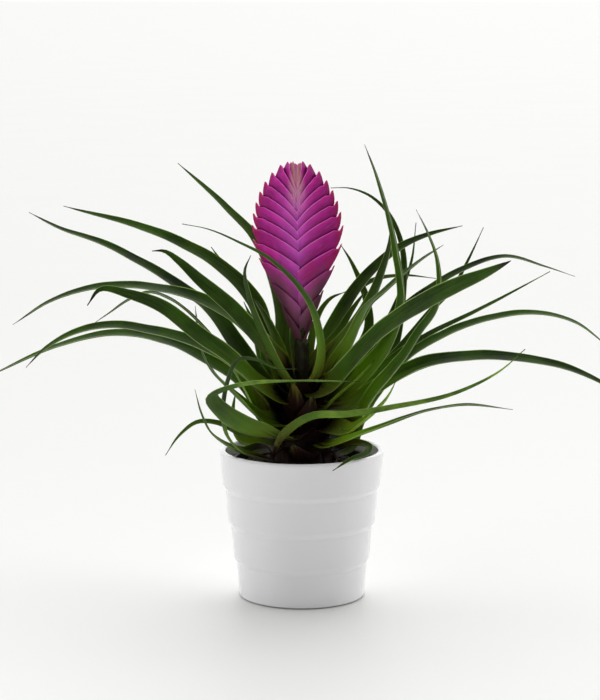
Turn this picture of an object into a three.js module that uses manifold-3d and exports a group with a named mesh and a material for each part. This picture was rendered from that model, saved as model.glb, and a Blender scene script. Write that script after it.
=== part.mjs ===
// A pink quill plant in a white banded cover pot. Millimetres, +Z up.
// The origin is the middle of the pot's flat foot, and the flower head faces -Y.
import * as THREE from 'three';
import { mergeVertices } from 'three/addons/utils/BufferGeometryUtils.js';
import Module from 'manifold-3d';

const wasm = await Module();
wasm.setup();

// ---- driving dimensions -------------------------------------------------------------
const GAP = 0.3;                 // clearance between pieces that touch

const POT_HEIGHT = 100;
const POT_RIM_RADIUS = 55;
const POT_FOOT_RADIUS = 42.2;
const POT_WALL = 4;
const POT_FLOOR = 5;
const POT_BANDS = 4;
const BAND_STEP = 1.5;           // how far each band stands out over the one below
const BAND_SOFTNESS = 2;         // half the height over which a step is spread
const POT_ROUND = 1.6;           // rounding of the rim, and of the foot's edge
const POT_SIDES = 48;

const GROWER_HEIGHT = 88.5;      // the nursery pot that stands inside
const GROWER_RIM_RADIUS = 45;
const GROWER_FOOT_RADIUS = 31;
const GROWER_WALL = 1.2;
const GROWER_LIP = 1.8;
const GROWER_LIP_HEIGHT = 6;
const GROWER_SIDES = 32;
const DRAIN_RADIUS = 4;
const DRAIN_COUNT = 5;
const DRAIN_RING = 19;           // radius of the circle that the drainage holes lie on

const MIX_TOP = 88;              // height of the potting mix above the table
const MIX_RIPPLE = 0.6;
const MIX_RINGS = [36, 28];      // radii of the corners that the uneven top is drawn with
const ROOT_RADIUS = 15;          // rooted foot of the crown, in a hole in the mix
const ROOT_DEPTH = 16;

const CROWN_BASE_RADIUS = 22;
const CROWN_LOW = 91;            // height of the lowest leaf's root on the crown
const CROWN_TAPER = 0.26;        // radius lost per millimetre of height
const CROWN_TOP = 148;
const CROWN_SIDES = 32;

const STEM_RADIUS = 3.6;
const STEM_TOP = 188;
const STEM_SIDES = 12;
const STEM_SINK = 22;            // how deep the flower stem stands in the crown
const NECK_TOP = 175;            // where the lowest pink bract begins
const PEG_RADIUS = 2.6;          // the stem's thin end, inside the flower head
const CLASP_COUNT = 3;           // bracts round the stem
const CLASP_WRAP = 125;          // how far each one wraps to either side, in degrees
const CLASP_TIP = 12;
const CLASP_FLARE = 1.4;         // how far its tip stands off the stem
const CLASP_SKIN = 0.9;          // its outer face, and its inner face set into the stem
const CLASP_INSET = 1.2;

const LEAF_THICK = 0.9;          // at the keel; the margins are thinner
const LEAF_EDGE_THICK = 0.72;
const LEAF_FOLD = THREE.MathUtils.degToRad(32);
const LEAF_ROOT_WIDTH = 0.65;    // share of a blade's width where it leaves the crown
const LEAF_LOW_WIDTH = 1.2;      // and in its lower part
const LEAF_SWELL = 0.18;         // how far along the blade it is that wide, out of 1,
const LEAF_SETTLE = 0.6;         // and from where it has no more than its own width
const LEAF_LEAN = THREE.MathUtils.degToRad(28);   // sideways blades face the front this much
const LEAF_PITCH = 1.1;          // height gained from one leaf to the next
const LEAF_FIRST_TURN = 85;      // compass angle of the lowest leaf, in degrees
const LEAF_TURN = 137.508;       // angle from one leaf to the next
const LEAF_STEP = 22;            // longest facet along a blade where it runs straight
const LEAF_BEND = THREE.MathUtils.degToRad(26);   // and its turn where it bends
const LEAF_STAND = 1;            // a blade's root stands this far out of the crown's side
const LEAF_SHEATH = 12;          // straight run of a blade as it leaves the crown
const LEAF_CLIMB = [18, 76];     // climb of the lowest and the highest leaf, in degrees
const LEAF_TIP = 0.45;           // half width of a blade's tip

const HEAD_BOTTOM = 176;
const HEAD_TOP = 294;
const HEAD_HALF_DEPTH = 3.6;
const HEAD_SHIFT = -1;           // the head stands a little to the left of the stem
const HEAD_LEAN = -0.025;        // sideways lean of the flower head, x per z
const NOTCH = 2.8;               // depth of the notches between bract tips
const LOW_NOTCH = 1.4;           // and between the lowest ones
const BRACTS_PER_SIDE = 12;
const FIRST_TIP = { left: 5.5, right: 4.5 };   // topmost tips, along the outline from its top
const TIP_SPACING = 7.6;         // from tip to tip in the upper part
const CLOSE_TIPS = 6.8;          // number of tips that are so close; below them each
const TIP_SPREAD = 3.6;          // spacing is this much longer than the one above
const BRACT_RISE = [18, 21];     // height of a bract's tip over the foot of its free edge,
const BRACT_BOW = [0.05, 0.16];  // and how far it bows up beside its width: low and high
const BRACT_FOOT = 18;           // the keel starts this far below the free edge
const BRACT_SHOULDER = 1.3;      // tip spacings from a bract's tip down to its shoulder
const KEEL_TURN = 0.6;           // the shoulder's place along the keel, out of 1
const BRACT_ROWS = 5;
const BRACT_COLUMNS = 2;
// Half width and height of the line that the bract tips reach, from neck to top.
const HEAD_OUTLINE = [
  [6, 176], [8, 186], [13, 200], [20.5, 216], [27, 231], [30, 243], [30, 253],
  [26.5, 267], [20, 280], [11, 289.5], [0, 294],
];

const COLOURS = {
  glaze: 0xf1f1ef, plastic: 0x17171a, mix: 0x2b211a, crown: 0x2a1b22,
  stem: 0x2c2a20, bract: 0xb02a8c, leaf: 0x2f5a20,
};

// ---- leaves -------------------------------------------------------------------------
// Lowest leaf first. Each row is the blade's width, its roll towards the tip in degrees, how
// full it stays before it tapers (higher is fuller), and the points that its keel passes
// through after it leaves the crown.
const LEAVES = [
  [14, 0, 2.4, [4, 46, 103], [7, 80, 118], [10, 115, 124], [13, 148, 116]],
  [5.5, 20, 2, [-39, -34, 105], [-49, -44, 118], [-51, -52, 138], [-47, -56, 158],
    [-41, -61, 170], [-30, -66, 171], [-17, -70, 166], [-3, -74, 166]],
  [11, 0, 2.4, [40, 12, 118], [50, 22, 134], [70, 28, 157], [99, 31, 174], [129, 33, 184],
    [160, 35, 187], [187, 37, 180], [213, 40, 160]],
  [8, 0, 2.4, [-42, 21, 103], [-47, 24, 117], [-45, 28, 134]],
  [14, 0, 2, [-2, -34, 102], [-6, -46, 112]],
  [9, 0, 1.7, [34, 34, 114], [52, 44, 136], [64, 52, 162], [70, 59, 200], [70, 60, 224],
    [66, 61, 240], [59, 64, 253], [47, 66, 264], [33, 68, 269], [20, 70, 269]],
  [7, 0, 2, [-36, -12, 100], [-47, -24, 106], [-59, -33, 117], [-65, -42, 131],
    [-69, -52, 149]],
  [6, 0, 2.4, [34, -22, 108], [44, -33, 108], [42, -41, 105], [32, -50, 103], [20, -59, 97]],
  [13, 0, 2.4, [-12, 40, 112], [-24, 66, 135], [-38, 88, 150], [-56, 106, 152]],
  [6, 0, 2, [-17, -36, 104], [-11, -46, 119], [7, -49, 131], [31, -48, 132], [57, -51, 137],
    [94, -57, 146], [125, -64, 162], [142, -69, 178]],
  [6, 0, 2, [34, 14, 124], [48, 15, 147], [66, 14, 163], [85, 10, 176], [111, 4, 190],
    [131, 0, 201], [164, -5, 220]],
  [6, 0, 2, [-41, 0, 111], [-56, -3, 118], [-70, -6, 119], [-82, -8, 110], [-91, -9, 97]],
  [8, 0, 2, [16, -30, 108], [38, -46, 119], [57, -57, 128], [79, -72, 139], [104, -90, 146],
    [131, -108, 146]],
  [7, 0, 1.8, [22, 44, 122], [44, 64, 150], [60, 74, 176], [71, 80, 200], [77, 84, 218],
    [80, 90, 243]],
  [8, 0, 2.4, [-28, -8, 124], [-43, -7, 152], [-58, -7, 175], [-74, -9, 193],
    [-86, -15, 203], [-100, -17, 208], [-114, -20, 203], [-126, -23, 195], [-138, -26, 187]],
  [15, 20, 1.8, [28, -8, 114], [37, -15, 124], [48, -25, 144], [66, -32, 167], [77, -33, 185],
    [87, -37, 201], [89, -40, 217], [87, -43, 233], [81, -46, 249], [73, -48, 265]],
  [10, 0, 2.4, [-20, 34, 130], [-28, 46, 156], [-34, 55, 178], [-40, 61, 191]],
  [18, 0, 0.9, [-12, -29, 113], [-34, -44, 122], [-50, -62, 136], [-57, -73, 148],
    [-43, -81, 156], [-12, -89, 161], [37, -104, 163]],
  [8, 0, 1.8, [32, 22, 130], [60, 36, 154], [89, 57, 185], [105, 68, 200], [114, 75, 215],
    [123, 83, 232], [127, 87, 240]],
  [13, 0, 2.4, [-41, 9, 145], [-62, 12, 158], [-89, 17, 170], [-124, 22, 175],
    [-164, 29, 166], [-216, 38, 142]],
  [13, 0, 2.4, [30, -27, 118], [39, -32, 124], [48, -36, 132], [55, -39, 141],
    [61, -43, 153]],
  [7, 0, 2, [6, 36, 140], [20, 60, 172], [38, 80, 196], [52, 92, 203], [73, 106, 204],
    [96, 120, 200]],
  [15, 0, 1.6, [-22, -22, 123], [-32, -26, 131], [-47, -25, 145], [-60, -20, 158],
    [-67, -17, 174], [-70, -18, 199]],
  [15, 0, 2.4, [22, 5, 130], [30, 8, 138], [50, 6, 160], [62, 0, 181], [66, -3, 205],
    [61, -6, 240], [51, -8, 277], [41, -8, 304]],
  [13, 0, 2.4, [-19, 15, 145], [-26, 23, 178], [-32, 26, 196], [-56, 34, 220],
    [-83, 44, 234], [-111, 55, 244], [-165, 75, 256]],
  [13, 0, 2, [5, -24, 128], [7, -32, 142]],
  [10, 0, 2.4, [18, 26, 134], [34, 42, 152], [46, 54, 172], [45, 58, 192], [41, 61, 204],
    [34, 62, 219], [27, 65, 230]],
  [14, 0, 2.4, [-25, -8, 139], [-47, -20, 163], [-73, -28, 177], [-99, -33, 185],
    [-124, -38, 189], [-147, -43, 185], [-166, -47, 175], [-178, -50, 163]],
  [14, 0, 2.4, [28, -8, 128], [40, -6, 135], [52, -5, 144], [84, -16, 161], [110, -29, 167],
    [135, -36, 168], [160, -43, 165], [182, -50, 159], [213, -58, 143]],
  [10, 0, 2.4, [-12, 27, 150], [-24, 38, 180], [-37, 39, 200], [-49, 45, 213],
    [-62, 52, 230]],
  [12, 0, 2, [-4, -24, 134], [-5, -33, 146], [-6, -40, 152]],
  [9, 0, 1.8, [24, 12, 143], [40, 20, 162], [60, 30, 182], [84, 40, 201], [112, 50, 216],
    [140, 59, 223], [168, 68, 215], [190, 74, 207]],
  [13, 0, 2.4, [-26, 3, 142], [-47, 11, 174], [-65, 19, 195], [-82, 26, 206],
    [-109, 33, 222], [-137, 39, 235], [-165, 45, 244], [-186, 50, 254]],
  [8, 0, 2.4, [15, -20, 132], [24, -25, 141], [34, -28, 150], [48, -30, 165]],
  [7, 0, 2.4, [4, 22, 155], [11, 28, 186], [19, 31, 197], [30, 38, 201]],
  [16, 0, 2.4, [-17, -21, 139], [-30, -32, 152], [-49, -44, 170], [-69, -49, 186],
    [-88, -52, 202], [-110, -60, 212], [-128, -66, 216], [-136, -70, 206]],
  [13, 0, 2.4, [19, -2, 150], [30, -8, 171], [42, 0, 194], [55, 11, 205], [79, 16, 225],
    [95, 20, 235]],
  [10, 0, 2.4, [-13, 16, 162], [-14, 26, 190], [-21, 32, 216], [-33, 37, 240],
    [-49, 50, 255], [-63, 64, 267], [-86, 84, 285]],
  [11, 0, 2, [0, -18, 143], [1, -23, 151]],
  [11, 0, 2.4, [13, 16, 150], [17, 28, 168], [26, 37, 186], [37, 41, 203], [52, 47, 219],
    [67, 52, 230], [88, 62, 238], [111, 68, 243]],
  [14, 0, 2.4, [-15, 0, 148], [-22, 0, 166], [-41, 0, 186], [-61, -1, 198], [-88, 1, 207],
    [-114, 2, 210], [-141, 3, 208], [-168, 4, 199], [-193, 5, 183]],
  [17, 30, 5, [13, -19, 143], [22, -26, 150], [35, -31, 167], [54, -40, 187], [76, -55, 205],
    [98, -66, 218], [116, -74, 227], [131, -82, 236]],
  [9, 0, 2.4, [-4, 22, 158], [-8, 38, 185], [-11, 64, 215], [-12, 95, 225], [-14, 125, 215]],
  [11, 0, 2.4, [-11, -17, 151], [-21, -26, 171], [-30, -31, 192], [-35, -33, 209],
    [-37, -34, 224], [-33, -34, 234]],
  [13, 0, 2.4, [16, 6, 155], [26, 10, 169], [36, 15, 182], [47, 21, 199], [54, 24, 216],
    [59, 25, 235], [60, 26, 251]],
  [9, 0, 2.4, [-12, 4, 152], [-17, 7, 172], [-27, 12, 192], [-33, 14, 201]],
  [9, 0, 0.8, [9, -18, 150], [13, -27, 173], [5, -36, 204], [-18, -43, 231], [-40, -49, 244],
    [-59, -55, 253], [-76, -60, 257]],
  [8, 0, 2.4, [8, 14, 156], [24, 24, 174], [34, 28, 190], [44, 34, 203]],
  [15, 0, 2.4, [-13, -11, 158], [-22, -14, 169], [-48, -17, 199], [-67, -18, 216],
    [-80, -18, 228], [-90, -18, 235], [-98, -18, 235]],
];

// ---- helpers ------------------------------------------------------------------------
const lerp = THREE.MathUtils.lerp;
const smooth = THREE.MathUtils.smoothstep;

// A closed mesh from corner points and faces, turned so that its faces point out.
function meshGeometry(points, faces) {
  const corners = points.flatMap((p) => [p.x, p.y, p.z]);
  let volume = 0;
  for (const [a, b, c] of faces) {
    volume += points[a].dot(new THREE.Vector3().crossVectors(points[b], points[c]));
  }
  const index = faces.flatMap(([a, b, c]) => (volume < 0 ? [a, c, b] : [a, b, c]));
  const geometry = new THREE.BufferGeometry();
  geometry.setAttribute('position', new THREE.Float32BufferAttribute(corners, 3));
  geometry.setIndex(index);
  return geometry;
}

// The same shape with only its positions, and each corner stored once.
function welded(geometry) {
  const plain = geometry.clone();
  plain.deleteAttribute('normal');
  plain.deleteAttribute('uv');
  return mergeVertices(plain, 1e-4);
}

function toSolid(geometry) {
  const plain = welded(geometry);
  return new wasm.Manifold(new wasm.Mesh({
    numProp: 3,
    vertProperties: new Float32Array(plain.attributes.position.array),
    triVerts: new Uint32Array(plain.index.array),
  }));
}

function fromSolid(solid) {
  const mesh = solid.getMesh();
  const geometry = new THREE.BufferGeometry();
  geometry.setAttribute('position', new THREE.BufferAttribute(mesh.vertProperties, 3));
  geometry.setIndex(new THREE.BufferAttribute(mesh.triVerts, 1));
  return geometry;
}

function joined(geometries) {
  const solids = geometries.map(toSolid);
  return fromSolid(solids.reduce((whole, solid) => whole.add(solid)));
}

// A solid of revolution about +Z from [radius, height] pairs.
function turned(profile, sides) {
  const geometry = new THREE.LatheGeometry(profile.map(([r, z]) => new THREE.Vector2(r, z)), sides);
  geometry.rotateX(Math.PI / 2);
  return geometry;
}

function named(name, geometry, colour, roughness) {
  const plain = welded(geometry);
  plain.computeVertexNormals();
  const material = new THREE.MeshStandardMaterial({ color: colour, roughness, metalness: 0 });
  const mesh = new THREE.Mesh(plain, material);
  mesh.name = name;
  return mesh;
}

// ---- pots and mix -------------------------------------------------------------------
// Outer radius of a pot wall that leans evenly from foot to rim.
function coverRadius(z) {
  return lerp(POT_FOOT_RADIUS, POT_RIM_RADIUS, z / POT_HEIGHT);
}

// Four stacked bands: each flares less than the wall leans, and a soft step makes it up.
function coverPot() {
  const bandHeight = POT_HEIGHT / POT_BANDS;
  const flare = (POT_RIM_RADIUS - POT_FOOT_RADIUS - BAND_STEP * (POT_BANDS - 1)) / POT_BANDS;
  const outside = [[POT_FOOT_RADIUS - POT_ROUND, 0], [POT_FOOT_RADIUS, POT_ROUND]];
  for (let band = 0; band < POT_BANDS; band += 1) {
    const low = POT_FOOT_RADIUS + band * (flare + BAND_STEP);
    if (band > 0) outside.push([low, band * bandHeight + BAND_SOFTNESS]);
    const high = (band + 1) * bandHeight - BAND_SOFTNESS;
    if (band < POT_BANDS - 1) outside.push([low + flare, high]);
  }
  const inside = POT_RIM_RADIUS - POT_WALL;
  const bevel = POT_ROUND * 0.3;
  const rim = [
    [POT_RIM_RADIUS, POT_HEIGHT - POT_ROUND], [POT_RIM_RADIUS - bevel, POT_HEIGHT - bevel],
    [POT_RIM_RADIUS - POT_ROUND, POT_HEIGHT], [inside + POT_ROUND, POT_HEIGHT],
    [inside + bevel, POT_HEIGHT - bevel], [inside, POT_HEIGHT - POT_ROUND],
  ];
  const hollow = [[coverRadius(POT_FLOOR) - POT_WALL, POT_FLOOR], [0, POT_FLOOR]];
  return turned([[0, 0], ...outside, ...rim, ...hollow], POT_SIDES);
}

// The thin grower's pot, with a rolled lip and drainage holes in its floor.
function nurseryPot() {
  const foot = POT_FLOOR + GAP;
  const top = foot + GROWER_HEIGHT;
  const lipFoot = top - GROWER_LIP_HEIGHT;
  const profile = [
    [0, foot], [GROWER_FOOT_RADIUS, foot], [GROWER_RIM_RADIUS, lipFoot],
    [GROWER_RIM_RADIUS + GROWER_LIP, lipFoot], [GROWER_RIM_RADIUS + GROWER_LIP, top],
    [GROWER_RIM_RADIUS - GROWER_WALL, top],
    [GROWER_FOOT_RADIUS - GROWER_WALL, foot + GROWER_WALL], [0, foot + GROWER_WALL],
  ];
  let solid = toSolid(turned(profile, GROWER_SIDES));
  for (let i = 0; i < DRAIN_COUNT; i += 1) {
    const hole = new THREE.CylinderGeometry(DRAIN_RADIUS, DRAIN_RADIUS, 4 * GROWER_WALL, 12);
    const angle = (i * 2 * Math.PI) / DRAIN_COUNT;
    hole.rotateX(Math.PI / 2);
    hole.translate(Math.cos(angle) * DRAIN_RING, Math.sin(angle) * DRAIN_RING, foot);
    solid = solid.subtract(toSolid(hole));
  }
  return fromSolid(solid);
}

// Potting mix: fills the nursery pot, with an uneven top and a plain hole for the crown.
function growingMedium() {
  const floor = POT_FLOOR + GAP + GROWER_WALL;
  const foot = floor + GAP;
  const wallRadius = (z) => {
    const t = (z - floor) / (GROWER_HEIGHT - GROWER_WALL);
    return lerp(GROWER_FOOT_RADIUS, GROWER_RIM_RADIUS, t) - GROWER_WALL - GAP * 1.5;
  };
  const hole = ROOT_RADIUS + GAP;
  const profile = [
    [0, foot], [wallRadius(foot), foot], [wallRadius(MIX_TOP), MIX_TOP],
    ...MIX_RINGS.map((radius) => [radius, MIX_TOP]), [hole, MIX_TOP],
    [hole, MIX_TOP - ROOT_DEPTH], [0, MIX_TOP - ROOT_DEPTH],
  ];
  const geometry = welded(turned(profile, GROWER_SIDES));
  const place = geometry.attributes.position;
  for (let i = 0; i < place.count; i += 1) {
    const x = place.getX(i);
    const y = place.getY(i);
    const radius = Math.hypot(x, y);
    if (place.getZ(i) > MIX_TOP - 1 && radius > hole + 1) {
      const ripple = Math.sin(x * 0.31 + 1) * Math.cos(y * 0.37) * MIX_RIPPLE;
      place.setZ(i, place.getZ(i) + ripple);
    }
  }
  return geometry;
}

// ---- crown and flower stem ----------------------------------------------------------
function crownRadius(z) {
  return CROWN_BASE_RADIUS - (z - CROWN_LOW) * CROWN_TAPER;
}

// The stock of packed leaf bases, rooted in the mix, with a plain hole for the stem.
function crown() {
  const hole = STEM_RADIUS + GAP;
  const foot = MIX_TOP - ROOT_DEPTH + GAP;
  const profile = [
    [0, foot], [ROOT_RADIUS, foot], [ROOT_RADIUS, MIX_TOP + GAP],
    [CROWN_BASE_RADIUS - 2, MIX_TOP + 1.6], [CROWN_BASE_RADIUS, CROWN_LOW],
    [crownRadius(CROWN_TOP), CROWN_TOP], [hole, CROWN_TOP],
    [hole, CROWN_TOP - STEM_SINK], [0, CROWN_TOP - STEM_SINK],
  ];
  return turned(profile, CROWN_SIDES);
}

// A pointed bract that clasps the stem: a wrapped scale, wide at its foot.
function clasp(foot, height, turn, radius) {
  const [rings, across] = [4, 6];
  const outer = [];
  const inner = [];
  for (let i = 0; i <= rings; i += 1) {
    const t = i / rings;
    const spread = THREE.MathUtils.degToRad(lerp(CLASP_WRAP, CLASP_TIP, t ** 1.3));
    const stand = radius + CLASP_FLARE * t * t;
    for (let j = 0; j <= across; j += 1) {
      const angle = turn + lerp(-spread, spread, j / across);
      const z = foot + height * t;
      const out = new THREE.Vector3(Math.cos(angle), Math.sin(angle), 0);
      outer.push(out.clone().multiplyScalar(stand + CLASP_SKIN).setZ(z));
      inner.push(out.clone().multiplyScalar(stand - CLASP_INSET).setZ(z));
    }
  }
  return slab(outer, inner, rings, across);
}

// A closed sheet between two like grids of points, rows by columns of cells.
function slab(front, back, rows, columns) {
  const points = [...front, ...back];
  const shift = front.length;
  const at = (i, j) => i * (columns + 1) + j;
  const faces = [];
  const strip = (a, b) => {
    faces.push([a, b, b + shift], [a, b + shift, a + shift]);
  };
  for (let i = 0; i < rows; i += 1) {
    for (let j = 0; j < columns; j += 1) {
      const [a, b, c, d] = [at(i, j), at(i, j + 1), at(i + 1, j + 1), at(i + 1, j)];
      faces.push([a, c, b], [a, d, c]);
      faces.push([a + shift, b + shift, c + shift], [a + shift, c + shift, d + shift]);
    }
  }
  for (let j = 0; j < columns; j += 1) {
    strip(at(0, j), at(0, j + 1));
    strip(at(rows, j + 1), at(rows, j));
  }
  for (let i = 0; i < rows; i += 1) {
    strip(at(i + 1, 0), at(i, 0));
    strip(at(i, columns), at(i + 1, columns));
  }
  return meshGeometry(points, faces);
}

// The flower stem, clasped by pointed bracts, its tip inside the flower head.
function scape() {
  const foot = CROWN_TOP - STEM_SINK + GAP;
  const core = [
    [0, foot], [STEM_RADIUS, foot], [STEM_RADIUS, NECK_TOP - 1],
    [PEG_RADIUS, NECK_TOP], [PEG_RADIUS, STEM_TOP], [0, STEM_TOP],
  ];
  const bracts = [];
  for (let i = 0; i < CLASP_COUNT; i += 1) {
    const low = CROWN_TOP + 1 + i * 4;
    const high = NECK_TOP - 3 - (CLASP_COUNT - 1 - i) * 3;
    bracts.push(clasp(low, high - low, -0.6 + i * 2.3, STEM_RADIUS + 0.7));
  }
  return joined([turned(core, STEM_SIDES), ...bracts]);
}

// ---- flower head --------------------------------------------------------------------
const headOutline = new THREE.CatmullRomCurve3(
  HEAD_OUTLINE.map(([x, z]) => new THREE.Vector3(x, 0, z)), false, 'centripetal',
);

// How far below its neighbour's tip a bract's tip lies along the outline. Bracts are
// counted from the top, and the right rank stands a little lower than the left.
function tipSpacing(count, side) {
  const number = count + (side > 0 ? 0.8 : 0);
  return TIP_SPACING + TIP_SPREAD * Math.max(number - CLOSE_TIPS, 0);
}

// One boat-shaped bract. Its keel swings out to the head's margin and runs up along it
// to the tip; its free upper edges lie over the bracts above, on both faces of the head.
function headBract(order, side) {
  const t = order / (BRACTS_PER_SIDE - 1);
  const count = BRACTS_PER_SIDE - 1 - order;
  let drop = side > 0 ? FIRST_TIP.right : FIRST_TIP.left;
  for (let k = 0; k < count; k += 1) drop += tipSpacing(k, side);
  const along = 1 - drop / headOutline.getLength();
  const share = (BRACT_SHOULDER * tipSpacing(count, side)) / headOutline.getLength();
  const tip = headOutline.getPointAt(along);
  const below = Math.max(along - share, 0);
  const shoulder = headOutline.getPointAt(below);
  const lie = headOutline.getTangentAt(below);
  const inward = new THREE.Vector3(-lie.z, 0, lie.x);
  shoulder.addScaledVector(inward, lerp(LOW_NOTCH, NOTCH, smooth(t, 0.1, 0.5)));
  const high = smooth(t, 0.3, 0.7);
  const bow = lerp(...BRACT_BOW, high) * tip.x;
  const edge = new THREE.Vector3(-1.5, 0, tip.z - lerp(...BRACT_RISE, high));
  const foot = new THREE.Vector3(-1.5, 0, edge.z - BRACT_FOOT);
  const front = [];
  const back = [];
  for (let i = 0; i <= BRACT_ROWS; i += 1) {
    const u = i / BRACT_ROWS;
    const keel = u < KEEL_TURN ? foot.clone().lerp(shoulder, u / KEEL_TURN)
      : shoulder.clone().lerp(tip, (u - KEEL_TURN) / (1 - KEEL_TURN));
    const free = edge.clone().lerp(tip, u);
    free.z += 0.6 + 4 * bow * u * (1 - u);
    for (let j = 0; j <= BRACT_COLUMNS; j += 1) {
      const v = j / BRACT_COLUMNS;
      const place = keel.clone().lerp(free, v);
      const bulge = HEAD_HALF_DEPTH * (1 - u * u) + 0.7;
      const stand = (bulge * lerp(0.62, 1, v) + 0.4 * v) * lerp(1, 0.75, t);
      const x = side * place.x + HEAD_SHIFT + (place.z - HEAD_BOTTOM) * HEAD_LEAN;
      const z = Math.max(place.z, HEAD_BOTTOM + 0.2 * v);
      front.push(new THREE.Vector3(x, -stand, z));
      back.push(new THREE.Vector3(x, stand, z));
    }
  }
  return slab(front, back, BRACT_ROWS, BRACT_COLUMNS);
}

// The narrow pointed bract that ends the head, between the two ranks.
function endBract() {
  const [low, high, half] = [HEAD_TOP - 26, HEAD_TOP - 4, 6.5];
  const front = [];
  const back = [];
  for (let i = 0; i <= BRACT_ROWS; i += 1) {
    const u = i / BRACT_ROWS;
    for (let j = 0; j <= BRACT_COLUMNS; j += 1) {
      const v = (2 * j) / BRACT_COLUMNS - 1;
      const x = v * half * (1 - u ** 3) + HEAD_SHIFT + (HEAD_TOP - HEAD_BOTTOM) * HEAD_LEAN;
      const z = lerp(low, high, u);
      const stand = (HEAD_HALF_DEPTH - 1) * (1 - u * u) * (1 - 0.4 * v * v) + 0.5;
      front.push(new THREE.Vector3(x + v * 0.3, -stand, z));
      back.push(new THREE.Vector3(x + v * 0.3, stand, z));
    }
  }
  return slab(front, back, BRACT_ROWS, BRACT_COLUMNS);
}

// The whole head: two ranks of overlapping bracts on a core with a hole for the stem.
function quill() {
  const bracts = [];
  for (let order = 0; order < BRACTS_PER_SIDE; order += 1) {
    bracts.push(headBract(order, -1), headBract(order, 1));
  }
  bracts.push(endBract());
  const depth = 30;
  const wide = PEG_RADIUS + GAP;
  const hole = new THREE.CylinderGeometry(wide, wide, depth, STEM_SIDES);
  hole.rotateX(Math.PI / 2);
  hole.translate(0, 0, STEM_TOP + GAP - depth / 2);
  const core = turned([
    [0, NECK_TOP + GAP], [STEM_RADIUS + 1, NECK_TOP + GAP], [STEM_RADIUS + 1.6, NECK_TOP + 9],
    [STEM_RADIUS, NECK_TOP + 25], [0, NECK_TOP + 40],
  ], STEM_SIDES);
  const whole = toSolid(joined([core, ...bracts]));
  return fromSolid(whole.subtract(toSolid(hole)));
}

// ---- leaves -------------------------------------------------------------------------
// Where leaf number i leaves the crown, and which way it starts: between the lie of the
// crown's packed leaf bases and the way to the next point of its route.
function leafRoot(i, next) {
  const turn = THREE.MathUtils.degToRad(LEAF_FIRST_TURN + i * LEAF_TURN);
  const climb = THREE.MathUtils.degToRad(lerp(...LEAF_CLIMB, i / (LEAVES.length - 1)));
  const outward = new THREE.Vector3(Math.cos(turn), Math.sin(turn), 0);
  const z = CROWN_LOW + 1 + i * LEAF_PITCH;
  const start = outward.clone().multiplyScalar(crownRadius(z) + LEAF_STAND).setZ(z);
  const heading = outward.clone().multiplyScalar(Math.cos(climb)).setZ(Math.sin(climb));
  heading.add(next.clone().sub(start).normalize()).normalize();
  const side = new THREE.Vector3(-outward.y, outward.x, 0);
  return { start, heading, side };
}

// Half the blade's width at t along it: widest in its lower part, with a long fine tip.
function bladeHalfWidth(width, fullness, t) {
  const low = lerp(LEAF_ROOT_WIDTH, LEAF_LOW_WIDTH, smooth(t, 0, LEAF_SWELL));
  const share = lerp(low, 1, smooth(t, LEAF_SWELL, LEAF_SETTLE));
  return Math.max((width / 2) * share * (1 - t ** fullness) ** 0.9, LEAF_TIP);
}

// Places along a route for a blade's sections: long facets where it runs straight, and
// short ones where it bends.
function stations(curve) {
  const fine = 240;
  const stride = curve.getLength() / fine;
  const effort = [0];
  for (let k = 1; k <= fine; k += 1) {
    const bend = curve.getTangentAt((k - 1) / fine).angleTo(curve.getTangentAt(k / fine));
    effort.push(effort[k - 1] + stride / LEAF_STEP + bend / LEAF_BEND);
  }
  const count = Math.max(5, Math.round(effort[fine]));
  const places = [];
  for (let s = 0; s <= count; s += 1) {
    const k = effort.findIndex((e) => e >= (effort[fine] * s) / count - 1e-9);
    places.push(k / fine);
  }
  return places;
}

// A channelled blade: six corners to a section, folded along the keel.
function leaf(row, i) {
  const [width, roll, fullness, ...route] = row;
  const onward = route.map((p) => new THREE.Vector3(...p));
  const { start, heading, side } = leafRoot(i, onward[0]);
  const reach = Math.min(LEAF_SHEATH, start.distanceTo(onward[0]) * 0.45);
  const via = [start, start.clone().addScaledVector(heading, reach), ...onward];
  const curve = new THREE.CatmullRomCurve3(via, false, 'centripetal');
  const places = stations(curve);
  const points = [];
  for (const t of places) {
    const centre = curve.getPointAt(t);
    const along = curve.getTangentAt(t);
    side.addScaledVector(along, -side.dot(along)).normalize();
    const turn = THREE.MathUtils.degToRad(roll) * smooth(t, 0.05, 0.8)
      + LEAF_LEAN * side.y * smooth(t, 0.02, 0.5);
    const across = side.clone().applyAxisAngle(along, turn);
    const up = new THREE.Vector3().crossVectors(along, across).normalize();
    const half = bladeHalfWidth(width, fullness, t);
    const fold = LEAF_FOLD * smooth(t, -0.05, 0.22);
    const [out, rise] = [half * Math.cos(fold), (half * Math.sin(fold)) / 2];
    const place = (x, z) => centre.clone().addScaledVector(across, x).addScaledVector(up, z);
    const [rim, keel] = [LEAF_EDGE_THICK / 2, LEAF_THICK / 2];
    points.push(
      place(-out, rise + rim), place(0, keel - rise), place(out, rise + rim),
      place(out, rise - rim), place(0, -keel - rise), place(-out, rise - rim),
    );
  }
  return meshGeometry(points, bladeFaces(places.length - 1));
}

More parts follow.
